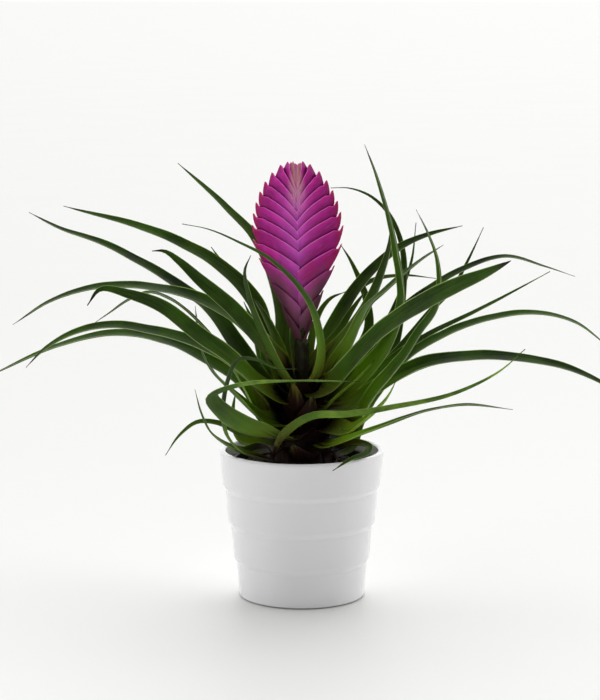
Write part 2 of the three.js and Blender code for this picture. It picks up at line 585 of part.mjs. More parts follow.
// Faces of a blade. Both faces of each half are split along the same diagonal.
function bladeFaces(steps) {
  const faces = [];
  const quad = (a, b, c, d) => faces.push([a, b, c], [a, c, d]);
  for (let s = 0; s < steps; s += 1) {
    const p = s * 6;
    const q = p + 6;
    quad(p, p + 1, q + 1, q);
    quad(p + 1, p + 2, q + 2, q + 1);
    quad(p + 2, p + 3, q + 3, q + 2);
    faces.push([p + 3, p + 4, q + 3], [p + 4, q + 4, q + 3]);
    faces.push([p + 5, q + 5, q + 4], [p + 5, q + 4, p + 4]);
    quad(p + 5, p, q, q + 5);
  }
  const e = steps * 6;
  faces.push([0, 5, 4], [0, 4, 1], [1, 4, 3], [1, 3, 2]);
  faces.push([e, e + 4, e + 5], [e, e + 1, e + 4], [e + 1, e + 3, e + 4], [e + 1, e + 2, e + 3]);
  return faces;
}

// ---- the plant ----------------------------------------------------------------------
const plant = new THREE.Group();
plant.add(named('cover_pot', coverPot(), COLOURS.glaze, 0.25));
plant.add(named('nursery_pot', nurseryPot(), COLOURS.plastic, 0.5));
plant.add(named('growing_medium', growingMedium(), COLOURS.mix, 0.95));
plant.add(named('crown', crown(), COLOURS.crown, 0.7));
plant.add(named('scape', scape(), COLOURS.stem, 0.6));
plant.add(named('quill', quill(), COLOURS.bract, 0.5));
LEAVES.forEach((row, i) => {
  plant.add(named(`leaf_${String(i + 1).padStart(2, '0')}`, leaf(row, i), COLOURS.leaf, 0.5));
});

export default plant;
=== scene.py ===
import math
import random

import bmesh
import bpy
import numpy as np
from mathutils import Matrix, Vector


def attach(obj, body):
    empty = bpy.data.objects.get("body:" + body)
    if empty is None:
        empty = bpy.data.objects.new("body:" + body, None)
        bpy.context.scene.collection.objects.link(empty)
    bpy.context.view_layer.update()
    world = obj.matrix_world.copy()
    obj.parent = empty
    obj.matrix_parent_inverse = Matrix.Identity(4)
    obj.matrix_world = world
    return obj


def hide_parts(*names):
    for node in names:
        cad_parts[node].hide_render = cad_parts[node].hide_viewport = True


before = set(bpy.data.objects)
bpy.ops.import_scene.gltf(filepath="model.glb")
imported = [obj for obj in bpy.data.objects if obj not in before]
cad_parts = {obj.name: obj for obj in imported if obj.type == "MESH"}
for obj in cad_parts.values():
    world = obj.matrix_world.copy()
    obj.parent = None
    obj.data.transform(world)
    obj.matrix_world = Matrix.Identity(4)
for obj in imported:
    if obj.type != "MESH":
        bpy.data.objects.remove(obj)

# A pink quill plant in a white banded cover pot. Sizes and places are in millimetres, and MM
# brings them to metres as each mesh is made.
MM = 0.001
UP = np.array([0.0, 0.0, 1.0])

# ---- sizes repeated from the part's drawing --------------------------------------------
GAP = 0.3                        # clearance between pieces that touch

POT_HEIGHT = 100
POT_RIM_RADIUS = 55
POT_FOOT_RADIUS = 42.2
POT_WALL = 4
POT_FLOOR = 5
POT_BANDS = 4
BAND_STEP = 1.5                  # how far each band stands out over the one below
BAND_SOFTNESS = 2                # half the height over which a step is spread
POT_ROUND = 1.6                  # rounding of the rim, and of the foot's edge

GROWER_HEIGHT = 88.5             # the nursery pot that stands inside
GROWER_RIM_RADIUS = 45
GROWER_FOOT_RADIUS = 31
GROWER_WALL = 1.2
GROWER_LIP = 1.8
GROWER_LIP_HEIGHT = 6
DRAIN_RADIUS = 4
DRAIN_COUNT = 5
DRAIN_RING = 19                  # radius of the circle that the drainage holes lie on

MIX_TOP = 88                     # height of the potting mix above the table
ROOT_RADIUS = 15                 # rooted foot of the crown, in a hole in the mix
ROOT_DEPTH = 16

CROWN_BASE_RADIUS = 22
CROWN_LOW = 91                   # height of the lowest leaf's root on the crown
CROWN_TAPER = 0.26               # radius lost per millimetre of height
CROWN_TOP = 148

STEM_RADIUS = 3.6
STEM_TOP = 188
STEM_SINK = 22                   # how deep the flower stem stands in the crown
NECK_TOP = 175                   # where the lowest pink bract begins

LEAF_ROOT_WIDTH = 0.65           # share of a blade's width where it leaves the crown
LEAF_LOW_WIDTH = 1.2             # and in its lower part
LEAF_SWELL = 0.18                # how far along the blade it is that wide, out of 1,
LEAF_SETTLE = 0.6                # and from where it has no more than its own width
LEAF_LEAN = math.radians(28)     # sideways blades face the front this much
LEAF_PITCH = 1.1                 # height gained from one leaf to the next
LEAF_FIRST_TURN = 85             # compass angle of the lowest leaf, in degrees
LEAF_TURN = 137.508              # angle from one leaf to the next
LEAF_STAND = 1                   # a blade's root stands this far out of the crown's side
LEAF_SHEATH = 12                 # straight run of a blade as it leaves the crown
LEAF_CLIMB = (18, 76)            # climb of the lowest and the highest leaf, in degrees

HEAD_BOTTOM = 176
HEAD_TOP = 294
HEAD_HALF_DEPTH = 3.6
HEAD_SHIFT = -1                  # the head stands a little to the left of the stem
HEAD_LEAN = -0.025               # sideways lean of the flower head, x per z
BRACTS_PER_SIDE = 12
FIRST_TIPS = (5.5, 4.5)          # topmost tips, left and right, along the outline from its top
TIP_SPACING = 7.6                # from tip to tip in the upper part
BRACT_RISE = (18, 21)            # height of a low and a high tip over its free edge's foot
BRACT_FOOT = 18                  # the keel starts this far below the free edge
BRACT_SHOULDER = 1.3             # tip spacings from a bract's tip down to its shoulder
# Half width and height of the line that the bract tips reach, from neck to top.
HEAD_OUTLINE = [
    (6, 176), (8, 186), (13, 200), (20.5, 216), (27, 231), (30, 243), (30, 253),
    (26.5, 267), (20, 280), (11, 289.5), (0, 294),
]

# Lowest leaf first: the blade's width, its roll towards the tip in degrees, how full it
# stays before it tapers, and the points that its keel passes through after the crown. Only
# the rolls of the leaves 18, 36, 47 and 49 are other than the drawing's.
LEAVES = [
    (14, 0, 2.4, [(4, 46, 103), (7, 80, 118), (10, 115, 124), (13, 148, 116)]),
    (5.5, 20, 2, [(-39, -34, 105), (-49, -44, 118), (-51, -52, 138), (-47, -56, 158),
        (-41, -61, 170), (-30, -66, 171), (-17, -70, 166), (-3, -74, 166)]),
    (11, 0, 2.4, [(40, 12, 118), (50, 22, 134), (70, 28, 157), (99, 31, 174), (129, 33, 184),
        (160, 35, 187), (187, 37, 180), (213, 40, 160)]),
    (8, 0, 2.4, [(-42, 21, 103), (-47, 24, 117), (-45, 28, 134)]),
    (14, 0, 2, [(-2, -34, 102), (-6, -46, 112)]),
    (9, 0, 1.7, [(34, 34, 114), (52, 44, 136), (64, 52, 162), (70, 59, 200), (70, 60, 224),
        (66, 61, 240), (59, 64, 253), (47, 66, 264), (33, 68, 269), (20, 70, 269)]),
    (7, 0, 2, [(-36, -12, 100), (-47, -24, 106), (-59, -33, 117), (-65, -42, 131),
        (-69, -52, 149)]),
    (6, 0, 2.4, [(34, -22, 108), (44, -33, 108), (42, -41, 105), (32, -50, 103), (20, -59, 97)]),
    (13, 0, 2.4, [(-12, 40, 112), (-24, 66, 135), (-38, 88, 150), (-56, 106, 152)]),
    (6, 0, 2, [(-17, -36, 104), (-11, -46, 119), (7, -49, 131), (31, -48, 132), (57, -51, 137),
        (94, -57, 146), (125, -64, 162), (142, -69, 178)]),
    (6, 0, 2, [(34, 14, 124), (48, 15, 147), (66, 14, 163), (85, 10, 176), (111, 4, 190),
        (131, 0, 201), (164, -5, 220)]),
    (6, 0, 2, [(-41, 0, 111), (-56, -3, 118), (-70, -6, 119), (-82, -8, 110), (-91, -9, 97)]),
    (8, 0, 2, [(16, -30, 108), (38, -46, 119), (57, -57, 128), (79, -72, 139), (104, -90, 146),
        (131, -108, 146)]),
    (7, 0, 1.8, [(22, 44, 122), (44, 64, 150), (60, 74, 176), (71, 80, 200), (77, 84, 218),
        (80, 90, 243)]),
    (8, 0, 2.4, [(-28, -8, 124), (-43, -7, 152), (-58, -7, 175), (-74, -9, 193), (-86, -15, 203),
        (-100, -17, 208), (-114, -20, 203), (-126, -23, 195), (-138, -26, 187)]),
    (15, 20, 1.8, [(28, -8, 114), (37, -15, 124), (48, -25, 144), (66, -32, 167), (77, -33, 185),
        (87, -37, 201), (89, -40, 217), (87, -43, 233), (81, -46, 249), (73, -48, 265)]),
    (10, 0, 2.4, [(-20, 34, 130), (-28, 46, 156), (-34, 55, 178), (-40, 61, 191)]),
    (18, 50, 0.9, [(-12, -29, 113), (-34, -44, 122), (-50, -62, 136), (-57, -73, 148),
        (-43, -81, 156), (-12, -89, 161), (37, -104, 163)]),
    (8, 0, 1.8, [(32, 22, 130), (60, 36, 154), (89, 57, 185), (105, 68, 200), (114, 75, 215),
        (123, 83, 232), (127, 87, 240)]),
    (13, 0, 2.4, [(-41, 9, 145), (-62, 12, 158), (-89, 17, 170), (-124, 22, 175), (-164, 29, 166),
        (-216, 38, 142)]),
    (13, 0, 2.4, [(30, -27, 118), (39, -32, 124), (48, -36, 132), (55, -39, 141), (61, -43, 153)]),
    (7, 0, 2, [(6, 36, 140), (20, 60, 172), (38, 80, 196), (52, 92, 203), (73, 106, 204),
        (96, 120, 200)]),
    (15, 0, 1.6, [(-22, -22, 123), (-32, -26, 131), (-47, -25, 145), (-60, -20, 158),
        (-67, -17, 174), (-70, -18, 199)]),
    (15, 0, 2.4, [(22, 5, 130), (30, 8, 138), (50, 6, 160), (62, 0, 181), (66, -3, 205),
        (61, -6, 240), (51, -8, 277), (41, -8, 304)]),
    (13, 0, 2.4, [(-19, 15, 145), (-26, 23, 178), (-32, 26, 196), (-56, 34, 220), (-83, 44, 234),
        (-111, 55, 244), (-165, 75, 256)]),
    (13, 0, 2, [(5, -24, 128), (7, -32, 142)]),
    (10, 0, 2.4, [(18, 26, 134), (34, 42, 152), (46, 54, 172), (45, 58, 192), (41, 61, 204),
        (34, 62, 219), (27, 65, 230)]),
    (14, 0, 2.4, [(-25, -8, 139), (-47, -20, 163), (-73, -28, 177), (-99, -33, 185),
        (-124, -38, 189), (-147, -43, 185), (-166, -47, 175), (-178, -50, 163)]),
    (14, 0, 2.4, [(28, -8, 128), (40, -6, 135), (52, -5, 144), (84, -16, 161), (110, -29, 167),
        (135, -36, 168), (160, -43, 165), (182, -50, 159), (213, -58, 143)]),
    (10, 0, 2.4, [(-12, 27, 150), (-24, 38, 180), (-37, 39, 200), (-49, 45, 213), (-62, 52, 230)]),
    (12, 0, 2, [(-4, -24, 134), (-5, -33, 146), (-6, -40, 152)]),
    (9, 0, 1.8, [(24, 12, 143), (40, 20, 162), (60, 30, 182), (84, 40, 201), (112, 50, 216),
        (140, 59, 223), (168, 68, 215), (190, 74, 207)]),
    (13, 0, 2.4, [(-26, 3, 142), (-47, 11, 174), (-65, 19, 195), (-82, 26, 206), (-109, 33, 222),
        (-137, 39, 235), (-165, 45, 244), (-186, 50, 254)]),
    (8, 0, 2.4, [(15, -20, 132), (24, -25, 141), (34, -28, 150), (48, -30, 165)]),
    (7, 0, 2.4, [(4, 22, 155), (11, 28, 186), (19, 31, 197), (30, 38, 201)]),
    (16, -60, 2.4, [(-17, -21, 139), (-30, -32, 152), (-49, -44, 170), (-69, -49, 186),
        (-88, -52, 202), (-110, -60, 212), (-128, -66, 216), (-136, -70, 206)]),
    (13, 0, 2.4, [(19, -2, 150), (30, -8, 171), (42, 0, 194), (55, 11, 205), (79, 16, 225),
        (95, 20, 235)]),
    (10, 0, 2.4, [(-13, 16, 162), (-14, 26, 190), (-21, 32, 216), (-33, 37, 240), (-49, 50, 255),
        (-63, 64, 267), (-86, 84, 285)]),
    (11, 0, 2, [(0, -18, 143), (1, -23, 151)]),
    (11, 0, 2.4, [(13, 16, 150), (17, 28, 168), (26, 37, 186), (37, 41, 203), (52, 47, 219),
        (67, 52, 230), (88, 62, 238), (111, 68, 243)]),
    (14, 0, 2.4, [(-15, 0, 148), (-22, 0, 166), (-41, 0, 186), (-61, -1, 198), (-88, 1, 207),
        (-114, 2, 210), (-141, 3, 208), (-168, 4, 199), (-193, 5, 183)]),
    (17, 30, 5, [(13, -19, 143), (22, -26, 150), (35, -31, 167), (54, -40, 187), (76, -55, 205),
        (98, -66, 218), (116, -74, 227), (131, -82, 236)]),
    (9, 0, 2.4, [(-4, 22, 158), (-8, 38, 185), (-11, 64, 215), (-12, 95, 225), (-14, 125, 215)]),
    (11, 0, 2.4, [(-11, -17, 151), (-21, -26, 171), (-30, -31, 192), (-35, -33, 209),
        (-37, -34, 224), (-33, -34, 234)]),
    (13, 0, 2.4, [(16, 6, 155), (26, 10, 169), (36, 15, 182), (47, 21, 199), (54, 24, 216),
        (59, 25, 235), (60, 26, 251)]),
    (9, 0, 2.4, [(-12, 4, 152), (-17, 7, 172), (-27, 12, 192), (-33, 14, 201)]),
    (9, 35, 0.8, [(9, -18, 150), (13, -27, 173), (5, -36, 204), (-18, -43, 231), (-40, -49, 244),
        (-59, -55, 253), (-76, -60, 257)]),
    (8, 0, 2.4, [(8, 14, 156), (24, 24, 174), (34, 28, 190), (44, 34, 203)]),
    (15, -60, 2.4, [(-13, -11, 158), (-22, -14, 169), (-48, -17, 199), (-67, -18, 216),
        (-80, -18, 228), (-90, -18, 235), (-98, -18, 235)]),
]

# ---- sizes of the finer forms ----------------------------------------------------------
POT_SIDES = 160                  # facets round the cover pot,
GROWER_SIDES = 96                # round the nursery pot and the mix,
CROWN_SIDES = 120                # round the crown
STEM_SIDES = 40                  # and round the flower stem

BAND_GROOVE = 0.18               # depth of the fine groove under each band
GROOVE_REACH = 0.8               # half its height
POT_COVE = 3                     # rounding between the cover pot's floor and its wall inside
LIP_ROUND = 0.5                  # rounding of the nursery pot's lip and foot

MIX_SWELL = 0.6                  # the mix rises and falls by this much
MIX_GRAIN = 0.45                 # and each spot on it by so much more
CHIPS = 150000.0                 # chips of bark on a square metre
CHIP_SIZE = 2.6

# Ribs of the crown: how many go round, their twist in radians per millimetre, their height.
CROWN_RIBS = [(13, 0.09, 0.5), (8, -0.07, 0.4)]
# Bracts round the stem: foot over the crown's top, height, the way it faces in radians, how
# far it stands off the stem, and how far it wraps to each side in degrees.
CLASPS = [
    (-1, 25, -0.6, 0.5, 118), (2, 22, 1.5, 0.9, 112), (5, 22, 3.9, 0.5, 118),
    (8, 18, -2.0, 1.0, 100),
]
CLASP_THICK = 0.6

LEAF_STRIDE = 3                  # length of a facet along a blade
LEAF_SECTION = 20                # corners round a blade's section
LEAF_THICK = 1.0
LEAF_TIP = 0.3                   # half width of a blade's tip
LEAF_CURL = 0.75                 # angle, in radians, that a blade's section bends to each side
LEAF_WAVE = 0.45                 # how far a margin waves up and down, beside half the width,
LEAF_WAVES = 28.0                # and how many waves lie on a metre of it, more or less
ROOT_LEAN = math.radians(42)     # sideways blades face the front this much near the crown
SHEATH_LENGTH = 16               # how far a leaf's base reaches down the crown
SHEATH_SPREAD = 1.6              # width of that base, beside the blade's own
SHEATH_BLEND = 45                # how far along a leaf its base has narrowed to the blade
TURNED_LOW = {10: (60, 0.12), 18: (55, 0.35)}   # low part turned: degrees, and so far along
PLAIN_TONES = 0.45               # leaves differ by up to this much of the way to bright green
PAINTED_LIGHT_TONE = 0.8                # and a part with painted light, where light falls on it, is this much brighter
PAINTED_LIGHT_LEAVES = {10: 0.15, 18: 0.5, 21: 0.1}   # painted light on these leaves, from so far along
FRESH_AND_GLOW_LEAVES = (4, 11, 13, 15, 16, 19, 21, 23, 24, 29, 34, 47)   # yellow green low down: young bases, with painted glow of light shining through them
HUSK_LEAVES = (5, 10, 26, 31, 39)   # brown a long way up
HUSK_REACH = 22                  # how far those are brown past the root,
BROWN_REACH = (-4, 10)           # and how far the others are, from least to most

NOTCH = 3.6                      # depth of the notches between bract tips
LOW_NOTCH = 1.5                  # and between the lowest ones
TOP_NOTCH = 4.8                  # and the topmost
TOP_SPACING = 5.2                # from the topmost tip to the next
CLOSE_TIPS = 6.3                 # number of tips that are close together; below them each
TIP_SPREAD = 3.1                 # spacing is this much longer than the one above
RIGHT_LAG = 0.8                  # and the right rank's spacings are so much of a tip ahead
BRACT_BOW = (0.05, 0.11)         # a low and a high free edge bow up so much beside the width
BRACT_THICK = 0.45
BRACT_LIFT = 0.7                 # how far a bract's free edge stands over the next one
TOOTH_NECK = ((2.3, 3.0), (2.5, 3.5))   # where a free edge turns up to its tip, left and right
TOOTH_CREST = (0.6, 0.15)        # a tip is blunt over this much
TOOTH_SWELL = 0.7                # how far the outer edge of a tip bulges
SMALL_TOOTH = 12                 # tips this close to the head's middle line or closer shrink
# Upright bracts between the two ranks: the middle, how far the foot and the tip lie below
# the head's top, half the width, and how far it stands forward of the head's mid plane.
YOUNG_BRACTS = [
    (-0.4, 34, 3.5, 6.5, 3.0), (-1.9, 32, 1.5, 3.0, 3.8), (1.6, 33, 3, 2.8, 4.1),
    (-3.2, 30, 2, 4, 2.2), (2.8, 30, 2.4, 4, 2.4), (-0.4, 28, 3, 7, -2.6),
]

FLOOR_REACH = 150000             # half the side of the floor
LENS = 118.3                     # focal length over a frame 36 mm high
FRAME_HEIGHT = 36
CAMERA_PLACE = (-1.2, -1514.5, 401.2)
CAMERA_DIP = 8.8                 # how far it looks down, in degrees


# ---- small tools -----------------------------------------------------------------------
def mix(low, high, t):
    return low + (high - low) * t


def ease(value, low, high):
    """0 below low, 1 above high, and a soft curve between."""
    t = min(max((value - low) / (high - low), 0.0), 1.0)
    return t * t * (3 - 2 * t)


def unit(vector):
    return vector / np.linalg.norm(vector)


def shade(code):
    """A colour written as six hexadecimal digits, as the linear colour that a shader takes."""
    parts = [int(code[i:i + 2], 16) / 255 for i in (0, 2, 4)]
    linear = [p / 12.92 if p <= 0.04045 else ((p + 0.055) / 1.055) ** 2.4 for p in parts]
    return (*linear, 1.0)


def smooth_line(corners, steps=24):
    """Points close together on a smooth line that passes through the corners."""
    corners = [np.array(c, float) for c in corners]
    before = 2 * corners[0] - corners[1]
    after = 2 * corners[-1] - corners[-2]
    chain = [before, *corners, after]
    line = []
    for p0, p1, p2, p3 in zip(chain, chain[1:], chain[2:], chain[3:]):
        d0, d1, d2 = (math.sqrt(np.linalg.norm(b - a)) for a, b in ((p0, p1), (p1, p2), (p2, p3)))
        m1 = ((p1 - p0) / d0 - (p2 - p0) / (d0 + d1) + (p2 - p1) / d1) * d1
        m2 = ((p2 - p1) / d1 - (p3 - p1) / (d1 + d2) + (p3 - p2) / d2) * d1
        for k in range(steps):
            t = k / steps
            line.append(p1 + m1 * t + (3 * (p2 - p1) - 2 * m1 - m2) * t ** 2
                        + (2 * (p1 - p2) + m1 + m2) * t ** 3)
    line.append(corners[-1])
    return np.array(line)


def evenly(line, count):
    """The same line as count points an even distance apart, and those distances."""
    steps = np.linalg.norm(np.diff(line, axis=0), axis=1)
    run = np.concatenate([[0], np.cumsum(steps)])
    wanted = np.linspace(0, run[-1], count)
    return np.stack([np.interp(wanted, run, line[:, k]) for k in range(line.shape[1])], 1), wanted


def new_object(name, data):
    made = bpy.data.objects.new(name, data)
    bpy.context.scene.collection.objects.link(made)
    return made


def mesh_object(name, points, faces, edges=()):
    """A new object from corner points in millimetres."""
    mesh = bpy.data.meshes.new(name)
    mesh.from_pydata([tuple(np.array(p, float) * MM) for p in points], list(edges), list(faces))
    mesh.update()
    return new_object(name, mesh)


def write_values(piece, name, values, kind="FLOAT"):
    """Keeps one value or vector for each corner of the piece, for its tree or its finish."""
    layer = piece.data.attributes.new(name, kind, "POINT")
    key = "value" if kind == "FLOAT" else "vector"
    layer.data.foreach_set(key, np.array(values, np.float32).ravel())


def face_outwards(piece):
    """Closes doubled corners and turns every face outwards."""
    shell = bmesh.new()
    shell.from_mesh(piece.data)
    bmesh.ops.remove_doubles(shell, verts=shell.verts, dist=1e-6)
    bmesh.ops.recalc_face_normals(shell, faces=shell.faces)
    shell.to_mesh(piece.data)
    shell.free()


def soften(piece, angle=180):
    """Smooth shading, with a crease where faces meet at more than the angle."""
    piece.data.shade_smooth()
    if angle < 180:
        piece.data.set_sharp_from_angle(angle=math.radians(angle))


def fixed(piece):
    """Turns the piece with its modifiers into a plain mesh."""
    ready = bpy.context.evaluated_depsgraph_get()
    shape = bpy.data.meshes.new_from_object(
        piece.evaluated_get(ready), preserve_all_data_layers=True, depsgraph=ready)
    piece.modifiers.clear()
    former = piece.data
    piece.data = shape
    bpy.data.meshes.remove(former)
    shape.name = piece.name
    return piece


def dress(piece, finish, slot, *nodes):
    """Gives a finished piece its material and its place on the part."""
    piece.data.materials.clear()
    piece.data.materials.append(finish)
    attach(piece, "root")
    if nodes:
        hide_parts(*nodes)
    return piece


def grid_faces(rows, columns, closed=False):
    """Faces of a sheet of rows by columns of cells, or of a tube where it is closed."""
    width = columns if closed else columns + 1
    faces = []
    for i in range(rows):
        for j in range(columns):
            k = (j + 1) % width
            faces.append((i * width + j, i * width + k, (i + 1) * width + k, (i + 1) * width + j))
    return faces


def taken(piece):
    """The corners, in millimetres, and the faces of a piece, which is then removed."""
    points = [tuple(corner.co / MM) for corner in piece.data.vertices]
    faces = [tuple(face.vertices) for face in piece.data.polygons]
    bpy.data.objects.remove(piece)
    return points, faces


def joined(shells):
    """The corners and faces of several shells as one list of each."""
    points, faces = [], []
    for corners, cells in shells:
        faces += [tuple(len(points) + k for k in cell) for cell in cells]
        points += corners
    return points, faces


def thicken(piece, thickness):
    """Gives a sheet its thickness, half of it to each side."""
    wall = piece.modifiers.new("wall", "SOLIDIFY")
    wall.thickness = thickness * MM
    wall.offset = 0
    return fixed(piece)


# ---- node trees ------------------------------------------------------------------------
class Value:
    """What a node gives. Sums, differences and products of values are nodes too."""

    def __init__(self, board, socket):
        self.board = board
        self.socket = socket

    def __add__(self, other):
        return self.board.math("ADD", self, other)

    def __sub__(self, other):
        return self.board.math("SUBTRACT", self, other)

    def __rsub__(self, other):
        return self.board.math("SUBTRACT", other, self)

    def __mul__(self, other):
        return self.board.math("MULTIPLY", self, other)

    def ease(self, low, high):
        """0 below low, 1 above high, and a soft curve between."""
        return self.board.node("ShaderNodeMapRange", {0: self, 1: low, 2: high},
                               interpolation_type="SMOOTHSTEP")

    def spread(self, low, high):
        """A value between 0 and 1 brought to between low and high."""
        return self.board.node("ShaderNodeMapRange", {0: self, 3: low, 4: high})

    def part(self, number):
        """The x, y or z of a vector: number 0, 1 or 2."""
        return self.board.node("ShaderNodeSeparateXYZ", {0: self}, number)

    def scaled(self, size):
        return self.board.node("ShaderNodeVectorMath", {0: self, 3: size}, operation="SCALE")


class Board:
    """Lays nodes on a tree and joins them up."""

    def __init__(self, tree):
        self.tree = tree

    def node(self, kind, inputs=None, output=0, **settings):
        """Lays a node, and gives one of its outputs. Its inputs go by name or by number, and
        a list joins several values to one of them."""
        made = self.tree.nodes.new(kind)
        for name, value in settings.items():
            setattr(made, name, value)
        for key, given in (inputs or {}).items():
            for value in given if isinstance(given, list) else [given]:
                if isinstance(value, Value):
                    self.tree.links.new(value.socket, made.inputs[key])
                else:
                    made.inputs[key].default_value = value
        if made.outputs:
            return Value(self, made.outputs[output])

    def math(self, operation, *terms):
        return self.node("ShaderNodeMath", dict(enumerate(terms)), operation=operation)

    def vector(self, operation, *terms):
        return self.node("ShaderNodeVectorMath", dict(enumerate(terms)), operation=operation)


class Finish(Board):
    """The board of a new material."""

    def __init__(self, name):
        self.material = bpy.data.materials.new(name)
        self.material.use_nodes = True
        self.material.node_tree.nodes.clear()
        super().__init__(self.material.node_tree)

    def kept(self, name):
        """A value kept on the mesh's corners."""
        return self.node("ShaderNodeAttribute", output=2, attribute_name=name)

    def place(self):
        return self.node("ShaderNodeTexCoord", output="Object")

    def noise(self, scale, detail, roughness=0.5, at=None):
        """Noise from place to place on the piece, or over other coordinates."""
        return self.node("ShaderNodeTexNoise", {
            "Vector": at or self.place(), "Scale": scale, "Detail": detail,
            "Roughness": roughness})

    def fibres(self, stretch, scale, detail):
        """Noise drawn out upwards: the smaller the stretch, the longer the fibres."""
        at = self.node("ShaderNodeMapping", {"Vector": self.place(), "Scale": (1, 1, stretch)})
        return self.noise(scale, detail, 0.6, at)

    def lines(self, across, along, seed):
        """Coordinates for noise in fine lines that run along a blade."""
        return self.node("ShaderNodeCombineXYZ", {0: across, 1: along, 2: seed})

    def tint(self, amount, low, high):
        """The colour low where the amount is 0, and high where it is 1."""
        low, high = (shade(part) if isinstance(part, str) else part for part in (low, high))
        return self.node("ShaderNodeMix", {0: amount, 6: low, 7: high}, 2,
                         data_type="RGBA", clamp_factor=True)

    def layers(self, colour, *coats):
        """Colours laid one over another, each with how strongly it covers."""
        for code, amount in coats:
            colour = self.tint(amount, colour, code)
        return colour

    def surface(self, colour, roughness, relief=None, others=None):
        """The finished material. Relief is a height between 0 and 1, its strength, and its
        depth in metres."""
        inputs = {"Base Color": colour, "Roughness": roughness, **(others or {})}
        if relief:
            inputs["Normal"] = self.node(
                "ShaderNodeBump", dict(zip(("Height", "Strength", "Distance"), relief)))
        skin = self.node("ShaderNodeBsdfPrincipled", inputs)
        self.node("ShaderNodeOutputMaterial", {"Surface": skin})
        return self.material

    def fleshy(self, colour, mottle, relief, sheen, radius, depth):
        """The same for a living blade or bract, which light shines into a little."""
        return self.surface(colour, mottle.spread(0.42, 0.58), relief, {
            "Specular IOR Level": sheen, "Subsurface Weight": 0.35, "Subsurface Radius": radius,
            "Subsurface Scale": depth})


def new_tree(name, inputs, output):
    """A Geometry Nodes tree with named inputs, its board, and the inputs' values."""
    tree = bpy.data.node_groups.new(name, "GeometryNodeTree")
    for label, kind in inputs.items():
        tree.interface.new_socket(name=label, in_out="INPUT", socket_type="NodeSocket" + kind)
    tree.interface.new_socket(name=output, in_out="OUTPUT", socket_type="NodeSocketGeometry")
    board = Board(tree)
    source = tree.nodes.new("NodeGroupInput")
    return tree, board, {label: Value(board, source.outputs[label]) for label in inputs}


def apply_tree(piece, tree, **values):
    """Runs a tree on the piece with its named inputs set, and keeps the plain mesh."""
    run = piece.modifiers.new(tree.name, "NODES")
    run.node_group = tree
    for socket in tree.interface.items_tree:
        key = socket.name.lower().replace(" ", "_")
        if socket.in_out == "INPUT" and key in values:
            run[socket.identifier] = values[key]
    return fixed(piece)


# ---- finishes --------------------------------------------------------------------------
def glazed_white():
    """White glaze, faintly clouded, that stops just short of the bare foot, which is painted dark
    grey for the shade under the pot.
    """
    paint = Finish("glazed white")
    cloud = paint.noise(22, 3)
    pores = paint.noise(900, 2)
    # The bare foot ring is painted darker than bare stoneware: painted shade where the foot turns
    # under.
    bare_foot_and_shade = 1 - paint.place().part(2).ease(0.0003, 0.0014)
    glaze = paint.tint(cloud, "eeedf0", "f4f3f5")
    return paint.surface(
        paint.tint(bare_foot_and_shade, glaze, "8a8680"), cloud.spread(0.07, 0.12) + bare_foot_and_shade * 0.5,
        (cloud + pores * 0.03, 0.15, 0.0005), {"Coat Weight": 0.6, "Coat Roughness": 0.06})


def pot_plastic():
    """Dull black plastic with dust on it."""
    paint = Finish("nursery pot plastic")
    grain = paint.noise(1400, 3)
    dust = paint.noise(70, 4, 0.65).ease(0.5, 0.75)
    return paint.surface(
        paint.tint(dust, "0e0e10", "26231f"), dust.spread(0.5, 0.8), (grain, 0.3, 0.0002),
        {"Specular IOR Level": 0.12})


def bark_mix():
    """Damp bark, from brown to nearly black, with paler grain."""
    paint = Finish("bark mix")
    grain = paint.noise(900, 4, 0.7)
    dark = paint.tint(paint.noise(160, 4, 0.6).ease(0.35, 0.65), "1d1510", "46321f")
    return paint.surface(
        paint.tint(grain.ease(0.55, 0.8), dark, "6b5238"), grain.spread(0.8, 1.0),
        (grain, 0.8, 0.0008))


def crown_husk():
    """Papery sheaths, dark purple brown, with fibres that run up the crown."""
    paint = Finish("crown husk")
    fibre = paint.fibres(0.08, 1100, 3)
    dark = paint.tint(paint.noise(90, 2), "170b0f", "2a161a")
    return paint.surface(
        paint.tint(fibre.ease(0.5, 0.8), dark, "3c2a1c"), fibre.spread(0.5, 0.8),
        (fibre, 0.5, 0.0005), {"Specular IOR Level": 0.2})


def stem_skin():
    """The flower stem and the bracts that clasp it: dark maroon, with dull green patches."""
    paint = Finish("stem skin")
    fibre = paint.fibres(0.06, 1300, 2)
    dark = paint.tint(paint.noise(140, 2).ease(0.4, 0.65), "261a17", "2b3814")
    return paint.surface(
        paint.tint(fibre.ease(0.5, 0.8) * 0.35, dark, "5a4a30"), fibre.spread(0.4, 0.6),
        (fibre, 0.4, 0.0004), {"Specular IOR Level": 0.2})


